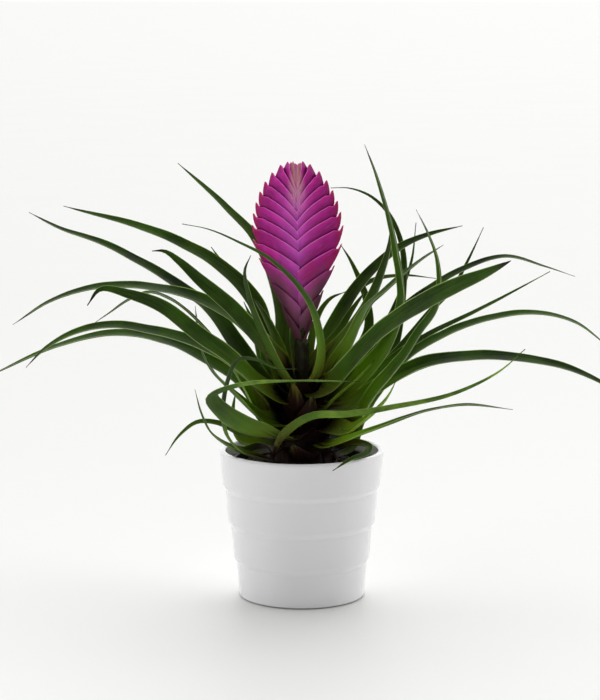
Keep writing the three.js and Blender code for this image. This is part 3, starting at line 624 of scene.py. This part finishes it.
def leaf_skin():
    """Leathery green blades, striped lengthwise: yellow green low down, partly the young bases'
    own colour and partly painted glow of light shining through them, darker beyond, with
    painted light where light falls on some blades, pale at the very margins, partly their own
    pale edge and partly painted highlight, grey below, rusty and purple at the crown and dry at
    the tip."""
    paint = Finish("leaf skin")
    run = paint.kept("run")
    tone = paint.kept("tone")
    lines = paint.lines(paint.kept("cross"), run * 0.02, tone * 3.0)
    ribs = paint.noise(1500, 2, 0.6, lines)
    bands = paint.noise(420, 2, at=lines)
    mottle = paint.noise(45, 3)
    past = run + (bands - 0.5) * 0.05 - paint.kept("husk")
    margin_and_highlight = paint.math("ABSOLUTE", paint.kept("edge")).ease(0.9, 0.98)
    depth = mottle.ease(0.3, 0.7) * 0.3 + tone * 0.7
    colour = paint.layers(
        paint.tint(depth, "12200a", "4e7a14"),
        # Painted light: a paler green coat only where the tone holds painted light, where light
        # falls on a blade.
        ("9cc040", depth.ease(0.7, 1.0) * 0.8),
        # Yellow green low down: the young bases' paler colour and painted glow of light shining
        # through them.
        ("7cae14", (1 - past.ease(0.025, 0.085)) * paint.kept("fresh_and_glow")),
        ("5a7a2c", ribs.ease(0.45, 0.75) * 0.3),
        ("505c40", paint.kept("face").ease(0.15, -0.15) * 0.25),
        # Pale margin line, partly the blade's own pale edge and partly painted highlight.
        ("b4c084", margin_and_highlight * 0.6 * past.ease(0.015, 0.06)),
        ("5c5c16", (1 - past.ease(0.01, 0.045)) * 0.4),
        ("70381a", (1 - past.ease(0.02, 0.05)) * bands.ease(0.5, 0.66) * 0.5),
        ("24120f", 1 - past.ease(0.0, 0.02)),
        ("241d10", (paint.kept("reach") + mottle * 0.03).ease(0.93, 1.0)))
    relief = (ribs + bands * 0.8, 0.35, 0.0004)
    return paint.fleshy(colour, mottle, relief, 0.12, (0.5, 1.0, 0.08), 0.0014)


def bract_skin():
    """The flower head: magenta, lilac along the middle, crimson at the tips, cream where the
    youngest bracts meet at the top, and dark maroon down at the neck, with painted shade under
    each bract's free edge, a deeper magenta on the right rank that is partly painted shade, and
    painted highlights along the free edges."""
    paint = Finish("bract skin")
    rise, wide, edge, run, tone = (
        paint.kept(name) for name in ("rise", "wide", "edge", "run", "tone"))
    lines = paint.noise(900, 2, 0.6, paint.lines(edge * 0.02, run * 0.004, tone))
    mottle = paint.noise(120, 3)
    inner = 1 - wide.ease(0.0, 0.7)
    outer = wide.ease(0.74, 0.98)
    patch = paint.noise(55, 2).ease(0.5, 0.62)
    dusk = 1 - (rise + inner * 0.13).ease(0.22, 0.46)
    colour = paint.layers(
        paint.tint(mottle.ease(0.3, 0.7), "b8128e", "e42cb6"),
        ("e05cd8", inner * (1 - rise.ease(0.72, 0.95)) * 0.75),
        # Deeper magenta on the right rank, partly its own colour and partly painted shade on the
        # side away from the light.
        ("c60c90", paint.place().part(0).ease(-0.001, 0.006) * 0.45),
        ("cc1a5a", outer * rise.ease(0.25, 0.55) * 0.85),
        ("da3060", run.ease(0.88, 1.0) * 0.75),
        ("e3b49c", rise.ease(0.64, 0.92) * (1 - wide.ease(0.0, 0.32)) * 0.9),
        # Painted shade: darker where a bract runs in under the free edge of the one below.
        ("6e0a52", (1 - edge.ease(0.55, 0.95)) * 0.5),
        # Painted highlight: a light pink line along each free edge, where it catches the light.
        ("f684da", edge.ease(0.92, 1.0) * rise.ease(0.12, 0.4) * inner.spread(0.6, 0.9)),
        ("d070bc", lines.ease(0.5, 0.8) * 0.3),
        ("b41464", patch * (1 - rise.ease(0.4, 0.65)) * 0.45),
        ("96607a", dusk * 0.75),
        ("4a2832", dusk * wide.ease(0.35, 0.95) * 0.8),
        ("5a343a", (1 - rise.ease(0.0, 0.22)) * 0.9))
    return paint.fleshy(colour, mottle, (lines, 0.25, 0.0003), 0.2, (1.0, 0.2, 0.6), 0.001)


# ---- pots ------------------------------------------------------------------------------
def turned(name, profile, sides):
    """A body of revolution from radius and height pairs that start and end on the axis."""
    ring = profile[1:-1]
    points = [(0, 0, profile[0][1]), (0, 0, profile[-1][1])]
    for radius, height in ring:
        for k in range(sides):
            turn = 2 * math.pi * k / sides
            points.append((radius * math.cos(turn), radius * math.sin(turn), height))
    faces = [tuple(i + 2 for i in face) for face in grid_faces(len(ring) - 1, sides, closed=True)]
    last = 2 + (len(ring) - 1) * sides
    for k in range(sides):
        after = (k + 1) % sides
        faces.append((0, 2 + after, 2 + k))
        faces.append((1, last + k, last + after))
    piece = mesh_object(name, points, faces)
    face_outwards(piece)
    return piece


def arc(centre, radius, start, end, steps=6):
    """Points on a rounded corner of a profile, between two angles in degrees."""
    turns = [math.radians(mix(start, end, k / steps)) for k in range(steps + 1)]
    return [(centre[0] + radius * math.cos(a), centre[1] + radius * math.sin(a)) for a in turns]


def band_radius(z):
    """Outer radius of the cover pot: each band flares less than the wall leans, and a soft
    step makes up the rest."""
    flare = (POT_RIM_RADIUS - POT_FOOT_RADIUS - BAND_STEP * (POT_BANDS - 1)) / POT_BANDS
    radius = POT_FOOT_RADIUS + flare * POT_BANDS * z / POT_HEIGHT
    for band in range(1, POT_BANDS):
        height = band * POT_HEIGHT / POT_BANDS
        radius += BAND_STEP * ease(z, height - BAND_SOFTNESS, height + BAND_SOFTNESS)
        radius -= BAND_GROOVE * math.exp(-((z - height + BAND_SOFTNESS) / GROOVE_REACH) ** 2)
    return radius


def cover_pot(finish):
    """A leaning wall with soft steps from band to band, and a plain hollow inside."""
    heights = []
    for band in range(1, POT_BANDS + 1):
        step = band * POT_HEIGHT / POT_BANDS
        heights += [step - 18, step - 10, step - 4]
        if band < POT_BANDS:
            heights += [step + k * BAND_SOFTNESS / 6 for k in range(-12, 9)]
    outside = [(band_radius(z), z) for z in heights if 2 < z < POT_HEIGHT - 2]
    inside = POT_RIM_RADIUS - POT_WALL
    floor_radius = mix(POT_FOOT_RADIUS, POT_RIM_RADIUS, POT_FLOOR / POT_HEIGHT) - POT_WALL
    profile = [
        (0, 0), (POT_FOOT_RADIUS - 6, 0),
        *arc((POT_FOOT_RADIUS - POT_ROUND, POT_ROUND), POT_ROUND, -90, 0),
        *outside,
        *arc((POT_RIM_RADIUS - POT_ROUND, POT_HEIGHT - POT_ROUND), POT_ROUND, 0, 90),
        *arc((inside + POT_ROUND, POT_HEIGHT - POT_ROUND), POT_ROUND, 90, 180),
        (mix(inside, floor_radius, 0.5), mix(POT_HEIGHT, POT_FLOOR, 0.5)),
        *arc((floor_radius - POT_COVE, POT_FLOOR + POT_COVE), POT_COVE, 0, -90), (0, POT_FLOOR),
    ]
    pot = turned("glazed_cover_pot", profile, POT_SIDES)
    soften(pot)
    return dress(pot, finish, "glaze", "cover_pot")


def nursery_pot(finish):
    """The thin grower's pot: a rolled lip over a leaning wall, and holes in its floor."""
    foot = POT_FLOOR + GAP
    top = foot + GROWER_HEIGHT
    lip_foot = top - GROWER_LIP_HEIGHT
    lip = GROWER_RIM_RADIUS + GROWER_LIP
    inside = GROWER_RIM_RADIUS - GROWER_WALL
    profile = [
        (0, foot), (GROWER_FOOT_RADIUS - LIP_ROUND, foot), (GROWER_FOOT_RADIUS, foot + LIP_ROUND),
        (GROWER_RIM_RADIUS, lip_foot), (lip - LIP_ROUND, lip_foot), (lip, lip_foot + LIP_ROUND),
        *arc((lip - LIP_ROUND, top - LIP_ROUND), LIP_ROUND, 0, 90, 4),
        *arc((inside + LIP_ROUND, top - LIP_ROUND), LIP_ROUND, 90, 180, 4),
        (inside, lip_foot + 1), (GROWER_FOOT_RADIUS - GROWER_WALL, foot + GROWER_WALL),
        (0, foot + GROWER_WALL),
    ]
    pot = turned("rolled_nursery_pot", profile, GROWER_SIDES)
    for k in range(DRAIN_COUNT):
        turn = 2 * math.pi * k / DRAIN_COUNT
        spot = (DRAIN_RING * math.cos(turn), DRAIN_RING * math.sin(turn))
        cutter = turned("drain", [(0, 0), (DRAIN_RADIUS, 0), (DRAIN_RADIUS, 4 * GROWER_WALL),
                                  (0, 4 * GROWER_WALL)], 24)
        for corner in cutter.data.vertices:
            corner.co.x += spot[0] * MM
            corner.co.y += spot[1] * MM
            corner.co.z += (foot - 1.5 * GROWER_WALL) * MM
        cut = pot.modifiers.new("drain", "BOOLEAN")
        cut.object = cutter
        cut.operation = "DIFFERENCE"
        fixed(pot)
        bpy.data.objects.remove(cutter)
    soften(pot, 40)
    return dress(pot, finish, "plastic", "nursery_pot")


# ---- potting mix -----------------------------------------------------------------------
def chip_tree():
    """Strews small chips of bark over the upper face of a bed."""
    tree, board, given = new_tree("strewn chips", {
        "Bed": "Geometry", "Chips per square metre": "Float", "Chip size": "Float", "Seed": "Int",
        "Finish": "Material"}, "Mix")
    level = board.node("GeometryNodeInputNormal").part(2)
    height = board.node("GeometryNodeInputPosition").part(2)
    upper = (board.math("GREATER_THAN", level, 0.7)
             * board.math("GREATER_THAN", height, (MIX_TOP - 4) * MM))
    spots = board.node("GeometryNodeDistributePointsOnFaces", {
        "Mesh": given["Bed"], "Selection": upper,
        "Density": given["Chips per square metre"], "Seed": given["Seed"]})
    lump = board.node("GeometryNodeMeshIcoSphere", {"Radius": 1.0, "Subdivisions": 2})
    dent = board.node("ShaderNodeTexNoise", {"Scale": 1.3, "Detail": 1.0}, 1)
    shift = board.vector("SUBTRACT", dent, (0.5, 0.5, 0.5)).scaled(1.1)
    chip = board.node("GeometryNodeSetPosition", {"Geometry": lump, "Offset": shift})

    def chance(low, high):
        return board.node("FunctionNodeRandomValue", {0: low, 1: high, "Seed": given["Seed"]},
                          data_type="FLOAT_VECTOR")

    laid = board.node("GeometryNodeInstanceOnPoints", {
        "Points": spots, "Instance": chip, "Rotation": chance((-0.6, -0.6, 0), (0.6, 0.6, 6.3)),
        "Scale": chance((0.5, 0.35, 0.2), (1.6, 0.9, 0.45)).scaled(given["Chip size"])})
    loose = board.node("GeometryNodeRealizeInstances", {0: laid})
    both = board.node("GeometryNodeJoinGeometry", {0: [given["Bed"], loose]})
    worn = board.node("GeometryNodeSetMaterial", {"Geometry": both, "Material": given["Finish"]})
    board.node("NodeGroupOutput", {0: worn})
    return tree


def potting_mix(finish):
    """The bed of bark mix in the nursery pot, with chips lying on it."""
    floor = POT_FLOOR + GAP + GROWER_WALL
    foot = floor + GAP

    def wall(z):
        t = (z - floor) / (GROWER_HEIGHT - GROWER_WALL)
        return mix(GROWER_FOOT_RADIUS, GROWER_RIM_RADIUS, t) - GROWER_WALL - GAP * 1.5

    hole = ROOT_RADIUS + GAP
    rings = [mix(wall(MIX_TOP) - 0.6, hole, k / 14) for k in range(15)]
    profile = [(0, foot), (wall(foot), foot), (wall(MIX_TOP - 1), MIX_TOP - 1),
               *[(radius, MIX_TOP) for radius in rings],
               (hole, MIX_TOP - ROOT_DEPTH), (0, MIX_TOP - ROOT_DEPTH)]
    bed = turned("bark_potting_mix", profile, GROWER_SIDES)
    rough = random.Random(4)
    for corner in bed.data.vertices:
        x, y, z = corner.co / MM
        if z > MIX_TOP - 0.5 and math.hypot(x, y) < wall(MIX_TOP) - 1:
            swell = math.sin(x * 0.31 + 1) * math.cos(y * 0.37) * MIX_SWELL
            corner.co.z += (swell + rough.uniform(-MIX_GRAIN, MIX_GRAIN)) * MM
    soften(bed, 50)
    apply_tree(bed, chip_tree(), chips_per_square_metre=CHIPS, chip_size=CHIP_SIZE * MM, seed=7,
               finish=finish)
    return dress(bed, finish, "mix", "growing_medium")


# ---- crown and flower stem -------------------------------------------------------------
def crown_radius(z):
    return CROWN_BASE_RADIUS - (z - CROWN_LOW) * CROWN_TAPER


def crown_stock(finish):
    """The stock of packed leaf bases, ribbed where they overlap."""
    hole = STEM_RADIUS + GAP
    foot = MIX_TOP - ROOT_DEPTH + GAP
    sides = [(crown_radius(z) - 1.2, z) for z in np.linspace(CROWN_LOW, CROWN_TOP - 2, 24)]
    profile = [
        (0, foot), (ROOT_RADIUS, foot), (ROOT_RADIUS, MIX_TOP + GAP),
        (CROWN_BASE_RADIUS - 3, MIX_TOP + 1.2), *sides,
        (hole + 1.2, CROWN_TOP), (hole, CROWN_TOP - 1), (hole, CROWN_TOP - STEM_SINK),
        (0, CROWN_TOP - STEM_SINK),
    ]
    crown = turned("sheathed_crown", profile, CROWN_SIDES)
    for corner in crown.data.vertices:
        x, y, z = corner.co / MM
        radius = math.hypot(x, y)
        if z > CROWN_LOW - 1 and radius > hole + 2:
            turn = math.atan2(y, x)
            rib = sum(math.sin(count * turn + twist * z) * height
                      for count, twist, height in CROWN_RIBS)
            corner.co.x *= 1 + rib / radius
            corner.co.y *= 1 + rib / radius
    soften(crown, 60)
    return dress(crown, finish, "crown", "crown")


def clasp(foot, height, turn, radius, wrap):
    """A pointed bract that clasps the stem, open at the back: a low keel runs up its middle,
    and its point stands off the stem a little."""
    rows, columns = 18, 16
    points = []
    for i in range(rows + 1):
        t = i / rows
        spread = math.radians(wrap) * (1 - t ** 2.2) + math.radians(6) * t
        stand = radius + 0.9 * t ** 3
        for j in range(columns + 1):
            s = 2 * j / columns - 1
            angle = turn + spread * s
            keel = 0.5 * (1 - abs(s)) ** 2
            points.append(((stand + keel) * math.cos(angle), (stand + keel) * math.sin(angle),
                           foot + height * t * (1 - 0.12 * s * s * (1 - t))))
    return points, grid_faces(rows, columns)


def flower_stem(finish):
    """The stem and the pointed bracts that clasp it, up to the neck of the head."""
    foot = CROWN_TOP - STEM_SINK + GAP
    stem = turned("clasped_stem", [
        (0, foot), (STEM_RADIUS, foot), (STEM_RADIUS, NECK_TOP - 1), (STEM_RADIUS - 1, NECK_TOP),
        (STEM_RADIUS - 1, STEM_TOP), (0, STEM_TOP)], STEM_SIDES)
    bracts = mesh_object("bracts", *joined([
        clasp(CROWN_TOP + low, height, turn, STEM_RADIUS + stand, wrap)
        for low, height, turn, stand, wrap in CLASPS]))
    thicken(bracts, CLASP_THICK)
    stem = mesh_object("clasped_stem", *joined([taken(stem), taken(bracts)]))
    face_outwards(stem)
    soften(stem, 50)
    return dress(stem, finish, "stem", "scape")


# ---- flower head -----------------------------------------------------------------------
OUTLINE, OUTLINE_RUN = evenly(smooth_line(HEAD_OUTLINE, 40), 400)
OUTLINE_LENGTH = OUTLINE_RUN[-1]


def outline_at(share):
    """A point on the line of bract tips and the way that the line runs there."""
    k = min(max(share, 0), 1) * (len(OUTLINE) - 2)
    low = int(k)
    step = OUTLINE[low + 1] - OUTLINE[low]
    return OUTLINE[low] + step * (k - low), unit(step)


def half_width(z):
    """Half the head's width at a height."""
    return float(np.interp(z, OUTLINE[:, 1], OUTLINE[:, 0]))


def tip_spacing(count, side):
    """How far below its neighbour's tip a bract's tip lies along the outline, counted from
    the top. The right rank stands a little lower than the left."""
    if count == 0:
        return TOP_SPACING
    return TIP_SPACING + TIP_SPREAD * max(count + RIGHT_LAG * (side > 0) - CLOSE_TIPS, 0)


def bract_edges(order, side, rows):
    """The free edge and the keel of one bract, from foot to tip, as the head's width and
    height at rows + 1 points each. The lowest bract's order is 0."""
    t = order / (BRACTS_PER_SIDE - 1)
    high = ease(t, 0.3, 0.7)
    top = ease(t, 0.65, 0.95)
    count = BRACTS_PER_SIDE - 1 - order
    drop = FIRST_TIPS[side > 0] + sum(tip_spacing(k, side) for k in range(count))
    share = 1 - drop / OUTLINE_LENGTH
    tip = outline_at(share)[0]

    # The free edge bows up from the head's middle line and ends in a blunt, upturned tip.
    root = np.array([-0.6, tip[1] - mix(*BRACT_RISE, high)])
    chord = tip - root
    bow = mix(*BRACT_BOW, high) * tip[0]
    free = [root + chord * u + (0, 5.6 * bow * u * (1 - u) ** 1.6) for u in np.linspace(0, 0.8, 10)]
    size = min(tip[0] / SMALL_TOOTH, 1)
    neck = tip - np.array(TOOTH_NECK[side > 0]) * size
    crest = tip - np.array(TOOTH_CREST) * size
    free = smooth_line([*free, neck, crest, tip], 8)

    # The keel rises within the outline, over a shoulder, and swells out to the same tip.
    shoulder, lie = outline_at(share - BRACT_SHOULDER * tip_spacing(count, side) / OUTLINE_LENGTH)
    inward = np.array([-lie[1], lie[0]])
    notch = mix(mix(LOW_NOTCH, NOTCH, ease(t, 0.1, 0.5)), TOP_NOTCH, top)
    shoulder = shoulder + inward * notch
    flank = mix(shoulder, tip, 0.6) - inward * TOOTH_SWELL * mix(1, 0.4, top)
    foot = root - (0, BRACT_FOOT)
    keel = smooth_line([foot, mix(foot, shoulder, 0.6) - (0, 1.5), shoulder, flank, tip], 16)
    return evenly(free, rows + 1)[0], evenly(keel, rows + 1)[0]


def leaned(x, y, z):
    """A point of the head where it leans."""
    return x + HEAD_SHIFT + (z - HEAD_BOTTOM) * HEAD_LEAN, y, z


def rise_of(z):
    """How far up the head a height is, from 0 to 1."""
    return (z - HEAD_BOTTOM) / (HEAD_TOP - HEAD_BOTTOM)


def head_bract(order, side, rows=24, columns=10):
    """Corners of one boat-shaped bract, from its free edge in front, round the keel at the
    head's margin, to its free edge behind, with what its finish needs to know."""
    free, keel = bract_edges(order, side, rows)
    lift = BRACT_LIFT * mix(0.3, 1, ease(order / (BRACTS_PER_SIDE - 1), 0.05, 0.4))
    points, notes = [], []
    for i in range(rows + 1):
        u = i / rows
        for j in range(-columns, columns + 1):
            v = abs(j) / columns
            x, z = mix(keel[i], free[i], v)
            wide = abs(x) / max(half_width(z), 3)
            # The head is a lens in section, a little hollow where the two ranks meet. A bract
            # stands off it more towards its free edge, and lies flatter at its tip.
            lens = HEAD_HALF_DEPTH * max(1 - wide ** 2, 0) ** 0.8
            lens *= 1 - 0.2 * math.exp(-(x / 3) ** 2)
            hug = 1 - (1 - v) ** 3
            stand = hug * (lens * mix(0.55, 1, v) + lift * v + 0.4)
            stand *= mix(1, 0.35, ease(u, 0.8, 1))
            points.append(leaned(side * x, math.copysign(stand, -j) if j else 0.0, z))
            notes.append((rise_of(z), wide, v, u, order * 0.37 + side * 0.11))
    return points, notes, grid_faces(rows, 2 * columns)


def young_bract(middle, foot, tip, half, depth, rows=14, columns=6):
    """One of the upright bracts between the two ranks at the top of the head."""
    points, notes = [], []
    for i in range(rows + 1):
        u = i / rows
        for j in range(-columns, columns + 1):
            s = j / columns
            z = HEAD_TOP - mix(foot, tip, u)
            x = middle + s * half * (1 - u ** 6) * mix(0.7, 1, ease(u, 0, 0.4))
            y = depth * (1 - u ** 3) * (1 - 0.4 * s * s) + 0.25
            points.append(leaned(x, -y, z))
            notes.append((rise_of(z), 0.05 + 0.15 * abs(s), mix(0.9, 1, abs(s)),
                          mix(0.6, 0.96, u), middle))
    return points, notes, grid_faces(rows, 2 * columns)


def flower_head(finish):
    """Two ranks of bracts that overlap from the neck up, as thin folded sheets, and the young
    ones that stand between them at the top."""
    sheets = [head_bract(order, side) for order in range(BRACTS_PER_SIDE) for side in (-1, 1)]
    sheets += [young_bract(*sizes) for sizes in YOUNG_BRACTS]
    head = mesh_object("bracted_flower_head", *joined([(sheet[0], sheet[2]) for sheet in sheets]))
    notes = [note for sheet in sheets for note in sheet[1]]
    for name, values in zip(("rise", "wide", "edge", "run", "tone"), zip(*notes)):
        write_values(head, name, values)
    thicken(head, BRACT_THICK)
    face_outwards(head)
    soften(head, 60)
    return dress(head, finish, "bract", "quill")


# ---- leaves ----------------------------------------------------------------------------
def leaf_root(number, towards):
    """Where a leaf leaves the crown, which way it starts, and the way across its blade."""
    turn = math.radians(LEAF_FIRST_TURN + number * LEAF_TURN)
    climb = math.radians(mix(*LEAF_CLIMB, number / (len(LEAVES) - 1)))
    outward = np.array([math.cos(turn), math.sin(turn), 0])
    z = CROWN_LOW + 1 + number * LEAF_PITCH
    start = outward * (crown_radius(z) + LEAF_STAND) + UP * z
    heading = unit(outward * math.cos(climb) + UP * math.sin(climb) + unit(towards - start))
    return start, heading, outward


def leaf_line(number, row):
    """The line along a leaf, from the foot of its sheath to the tip: stations, their distances
    past the root, and the ways across and up at each one."""
    _, roll, _, route = row
    route = [np.array(p, float) for p in route]
    start, heading, outward = leaf_root(number, route[0])
    drop = min(SHEATH_LENGTH, start[2] - MIX_TOP - 1.5)
    foot = start - UP * drop + outward * (drop * CROWN_TAPER * 0.5)
    lead = start + heading * min(LEAF_SHEATH, np.linalg.norm(route[0] - start) * 0.45)
    sheath = np.linalg.norm(foot - start)
    line = smooth_line([foot, start, lead, *route])
    length = np.linalg.norm(np.diff(line, axis=0), axis=1).sum()
    stations, run = evenly(line, max(24, round(length / LEAF_STRIDE)))
    run = run - sheath
    across, up = [], []
    side = np.array([-outward[1], outward[0], 0])
    for k in range(len(stations)):
        along = unit(stations[min(k + 1, len(stations) - 1)] - stations[max(k - 1, 0)])
        side = unit(side - along * side.dot(along))
        t = max(run[k], 0) / run[-1]
        lean = mix(ROOT_LEAN, LEAF_LEAN, ease(t, 0.15, 0.5)) * ease(run[k], -4, 14)
        turn = math.radians(roll) * ease(t, 0.05, 0.8) + lean * side[1]
        low, until = TURNED_LOW.get(number + 1, (0, 1))
        low *= ease(t, until * 0.1, until * 0.6) * (1 - ease(t, until, until * 1.7))
        turn += math.radians(low)
        turned_side = side * math.cos(turn) + np.cross(along, side) * math.sin(turn)
        across.append(turned_side)
        up.append(unit(np.cross(along, turned_side)))
    return stations, run, np.array(across), np.array(up)


def blade_half_width(width, fullness, t, run):
    """Half the width across a leaf's skin: a broad sheath, a full low part, a fine tip."""
    share = mix(mix(LEAF_ROOT_WIDTH, LEAF_LOW_WIDTH, ease(t, 0, LEAF_SWELL)), 1,
                ease(t, LEAF_SWELL, LEAF_SETTLE))
    share = mix(SHEATH_SPREAD, share, ease(run, 0, SHEATH_BLEND))
    return max(width / 2 * share * (1 - max(t, 0) ** fullness) ** 0.9, LEAF_TIP)


def blade_tree():
    """Sweeps a closed lens-shaped section along a leaf's line and bends it to a channel."""
    tree, board, given = new_tree("blade", {
        "Line": "Geometry", "Section corners": "Int", "Margin wave": "Float", "Seed": "Float",
        "Finish": "Material"}, "Blade")

    def kept(name, kind="FLOAT"):
        return board.node("GeometryNodeInputNamedAttribute", {"Name": name}, data_type=kind)

    def keep(shape, name, value, kind="FLOAT"):
        return board.node("GeometryNodeStoreNamedAttribute", {
            "Geometry": shape, "Name": name, "Value": value}, data_type=kind, domain="POINT")

    line = board.node("GeometryNodeMeshToCurve", {0: given["Line"]})
    line = keep(line, "centre", board.node("GeometryNodeInputPosition"), "FLOAT_VECTOR")
    section = board.node("GeometryNodeCurvePrimitiveCircle",
                         {"Resolution": given["Section corners"], "Radius": 1.0})
    section = keep(section, "section", board.node("GeometryNodeSplineParameter") * (2 * math.pi))
    skin = board.node("GeometryNodeCurveToMesh", {
        "Curve": line, "Profile Curve": section, "Fill Caps": True})

    edge = board.math("COSINE", kept("section"))
    face = board.math("SINE", kept("section"))
    half, curl = kept("half"), kept("curl")
    bend = curl * edge
    sine, cosine = board.math("SINE", bend), board.math("COSINE", bend)
    radius = board.math("DIVIDE", half, curl)
    sunk = radius * (1 - board.math("COSINE", curl)) * kept("sunk")
    wave = board.node("ShaderNodeTexNoise", {
        "W": kept("run") * LEAF_WAVES + given["Seed"], "Scale": 1.0, "Detail": 1.0},
        noise_dimensions="1D")
    wave = (wave - 0.5) * given["Margin wave"] * (edge * (edge * half))
    stand = kept("thick") * face
    aside = radius * sine - stand * sine
    above = radius * (1 - cosine) - sunk + (wave + stand * cosine)
    shift = board.vector("ADD", kept("across", "FLOAT_VECTOR").scaled(aside),
                         kept("up", "FLOAT_VECTOR").scaled(above))
    place = board.vector("ADD", kept("centre", "FLOAT_VECTOR"), shift)

    skin = keep(skin, "edge", edge)
    skin = keep(skin, "face", face)
    skin = keep(skin, "cross", half * edge)
    skin = board.node("GeometryNodeSetPosition", {"Geometry": skin, "Position": place})
    skin = board.node("GeometryNodeSetShadeSmooth", {"Geometry": skin})
    skin = board.node("GeometryNodeRealizeInstances", {0: skin})
    skin = board.node("GeometryNodeSetMaterial", {"Geometry": skin, "Material": given["Finish"]})
    board.node("NodeGroupOutput", {0: skin})
    return tree


def leaf(number, row, tree, finish):
    """One leaf: its line carries the sizes that the tree and the finish need at each station."""
    width, _, fullness, _ = row
    stations, run, across, up = leaf_line(number, row)
    label = number + 1
    count = len(stations)
    steps = [(k, k + 1) for k in range(count - 1)]
    piece = mesh_object(f"blade_{label:02d}", stations, [], steps)
    reach = run / run[-1]
    half = np.array([blade_half_width(width, fullness, t, d) for t, d in zip(reach, run)])
    channel = np.array([ease(t, -0.05, 0.22) for t in reach])
    hug = half / crown_radius(CROWN_LOW + number * LEAF_PITCH)
    chance = random.Random(number)
    # Painted light: on some leaves the tone grows brighter from so far along, where light falls on
    # the blade; the rest of the tone differs at random.
    bright = PAINTED_LIGHT_LEAVES.get(label, 2)
    painted_light = np.array([ease(t, bright, bright + 0.15) for t in reach])
    tone = chance.random() * PLAIN_TONES + PAINTED_LIGHT_TONE * painted_light
    # Yellow green low down, partly painted glow of light shining through the blade.
    fresh_and_glow = chance.random() * 0.5 + 0.5 * (label in FRESH_AND_GLOW_LEAVES)
    husk = HUSK_REACH if label in HUSK_LEAVES else mix(*BROWN_REACH, chance.random())
    for name, values in {
            "husk": np.full(count, husk * MM), "half": half * MM,
            "curl": hug * (1 - channel) + LEAF_CURL * channel,
            "thick": np.minimum(LEAF_THICK, half * 0.8) / 2 * MM, "sunk": channel * 0.5,
            "run": run * MM, "reach": reach, "tone": tone, "fresh_and_glow": np.full(count, fresh_and_glow)}.items():
        write_values(piece, name, values)
    write_values(piece, "across", across, "FLOAT_VECTOR")
    write_values(piece, "up", up, "FLOAT_VECTOR")
    apply_tree(piece, tree, section_corners=LEAF_SECTION, margin_wave=LEAF_WAVE,
               seed=number * 7.3, finish=finish)
    face_outwards(piece)
    soften(piece, 70)
    return dress(piece, finish, "leaf", f"leaf_{label:02d}")


# ---- floor, light and camera -----------------------------------------------------------
def pale_floor():
    paint = Finish("pale floor")
    cloud = paint.noise(3, 3)
    material = paint.surface(paint.tint(cloud, "f0f0ee", "f5f5f3"), cloud.spread(0.5, 0.6))
    corners = [(-1, -1, 0), (1, -1, 0), (1, 1, 0), (-1, 1, 0)]
    floor = mesh_object("floor", np.array(corners) * FLOOR_REACH, [(0, 1, 2, 3)])
    floor.data.materials.append(material)


def new_light(name, kind, towards, power):
    """A light that shines from a direction."""
    lamp = bpy.data.lights.new(name, kind)
    lamp.energy = power
    made = new_object(name, lamp)
    made.rotation_euler = Vector(towards).to_track_quat("Z", "Y").to_euler()
    return made


def soft_light(name, place, aim, size, power):
    """A soft rectangular light at a place in millimetres, turned to face a point."""
    made = new_light(name, "AREA", [there - here for there, here in zip(place, aim)], power)
    made.location = [part * MM for part in place]
    made.data.shape = "RECTANGLE"
    made.data.size = size[0] * MM
    made.data.size_y = size[1] * MM


def room_light():
    """A pale room, brighter behind the plant where the window is."""
    world = bpy.data.worlds.new("room")
    world.use_nodes = True
    world.node_tree.nodes.clear()
    board = Board(world.node_tree)
    behind = board.node("ShaderNodeTexCoord", output="Generated").part(1)
    glow = behind.ease(-0.75, 0.5).spread(0.1, 1.34)
    sky = board.node("ShaderNodeBackground", {"Color": (1, 1, 1, 1), "Strength": glow})
    board.node("ShaderNodeOutputWorld", {"Surface": sky})
    bpy.context.scene.world = world
    sky_side = new_light("daylight", "SUN", (0.25, 1.0, 0.9), 0.5)
    sky_side.data.angle = math.radians(50)   # wide enough to cast only soft shadows
    soft_light("left window", (-800, -700, 480), (0, 0, 100), (420, 500), 1.6)
    soft_light("sill glow", (0, -650, 60), (0, 0, 60), (900, 120), 0.2)
    soft_light("right window", (1000, 0, 400), (0, 0, 100), (500, 800), 1.2)


def camera():
    lens = bpy.data.cameras.new("camera")
    lens.sensor_fit = "VERTICAL"
    lens.sensor_height = FRAME_HEIGHT
    lens.lens = LENS
    lens.clip_start = 0.05
    lens.clip_end = 400
    made = new_object("camera", lens)
    made.location = [part * MM for part in CAMERA_PLACE]
    made.rotation_euler = (math.radians(90 - CAMERA_DIP), 0, 0)
    bpy.context.scene.camera = made


# ---- the plant -------------------------------------------------------------------------
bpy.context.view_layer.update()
camera()
room_light()
pale_floor()

cover_pot(glazed_white())
nursery_pot(pot_plastic())
potting_mix(bark_mix())
crown_stock(crown_husk())
flower_stem(stem_skin())
flower_head(bract_skin())
skin = leaf_skin()
blades = blade_tree()
for number, row in enumerate(LEAVES):
    leaf(number, row, blades, skin)

bpy.context.scene.view_settings.view_transform = "Standard"
bpy.context.scene.view_settings.look = "None"
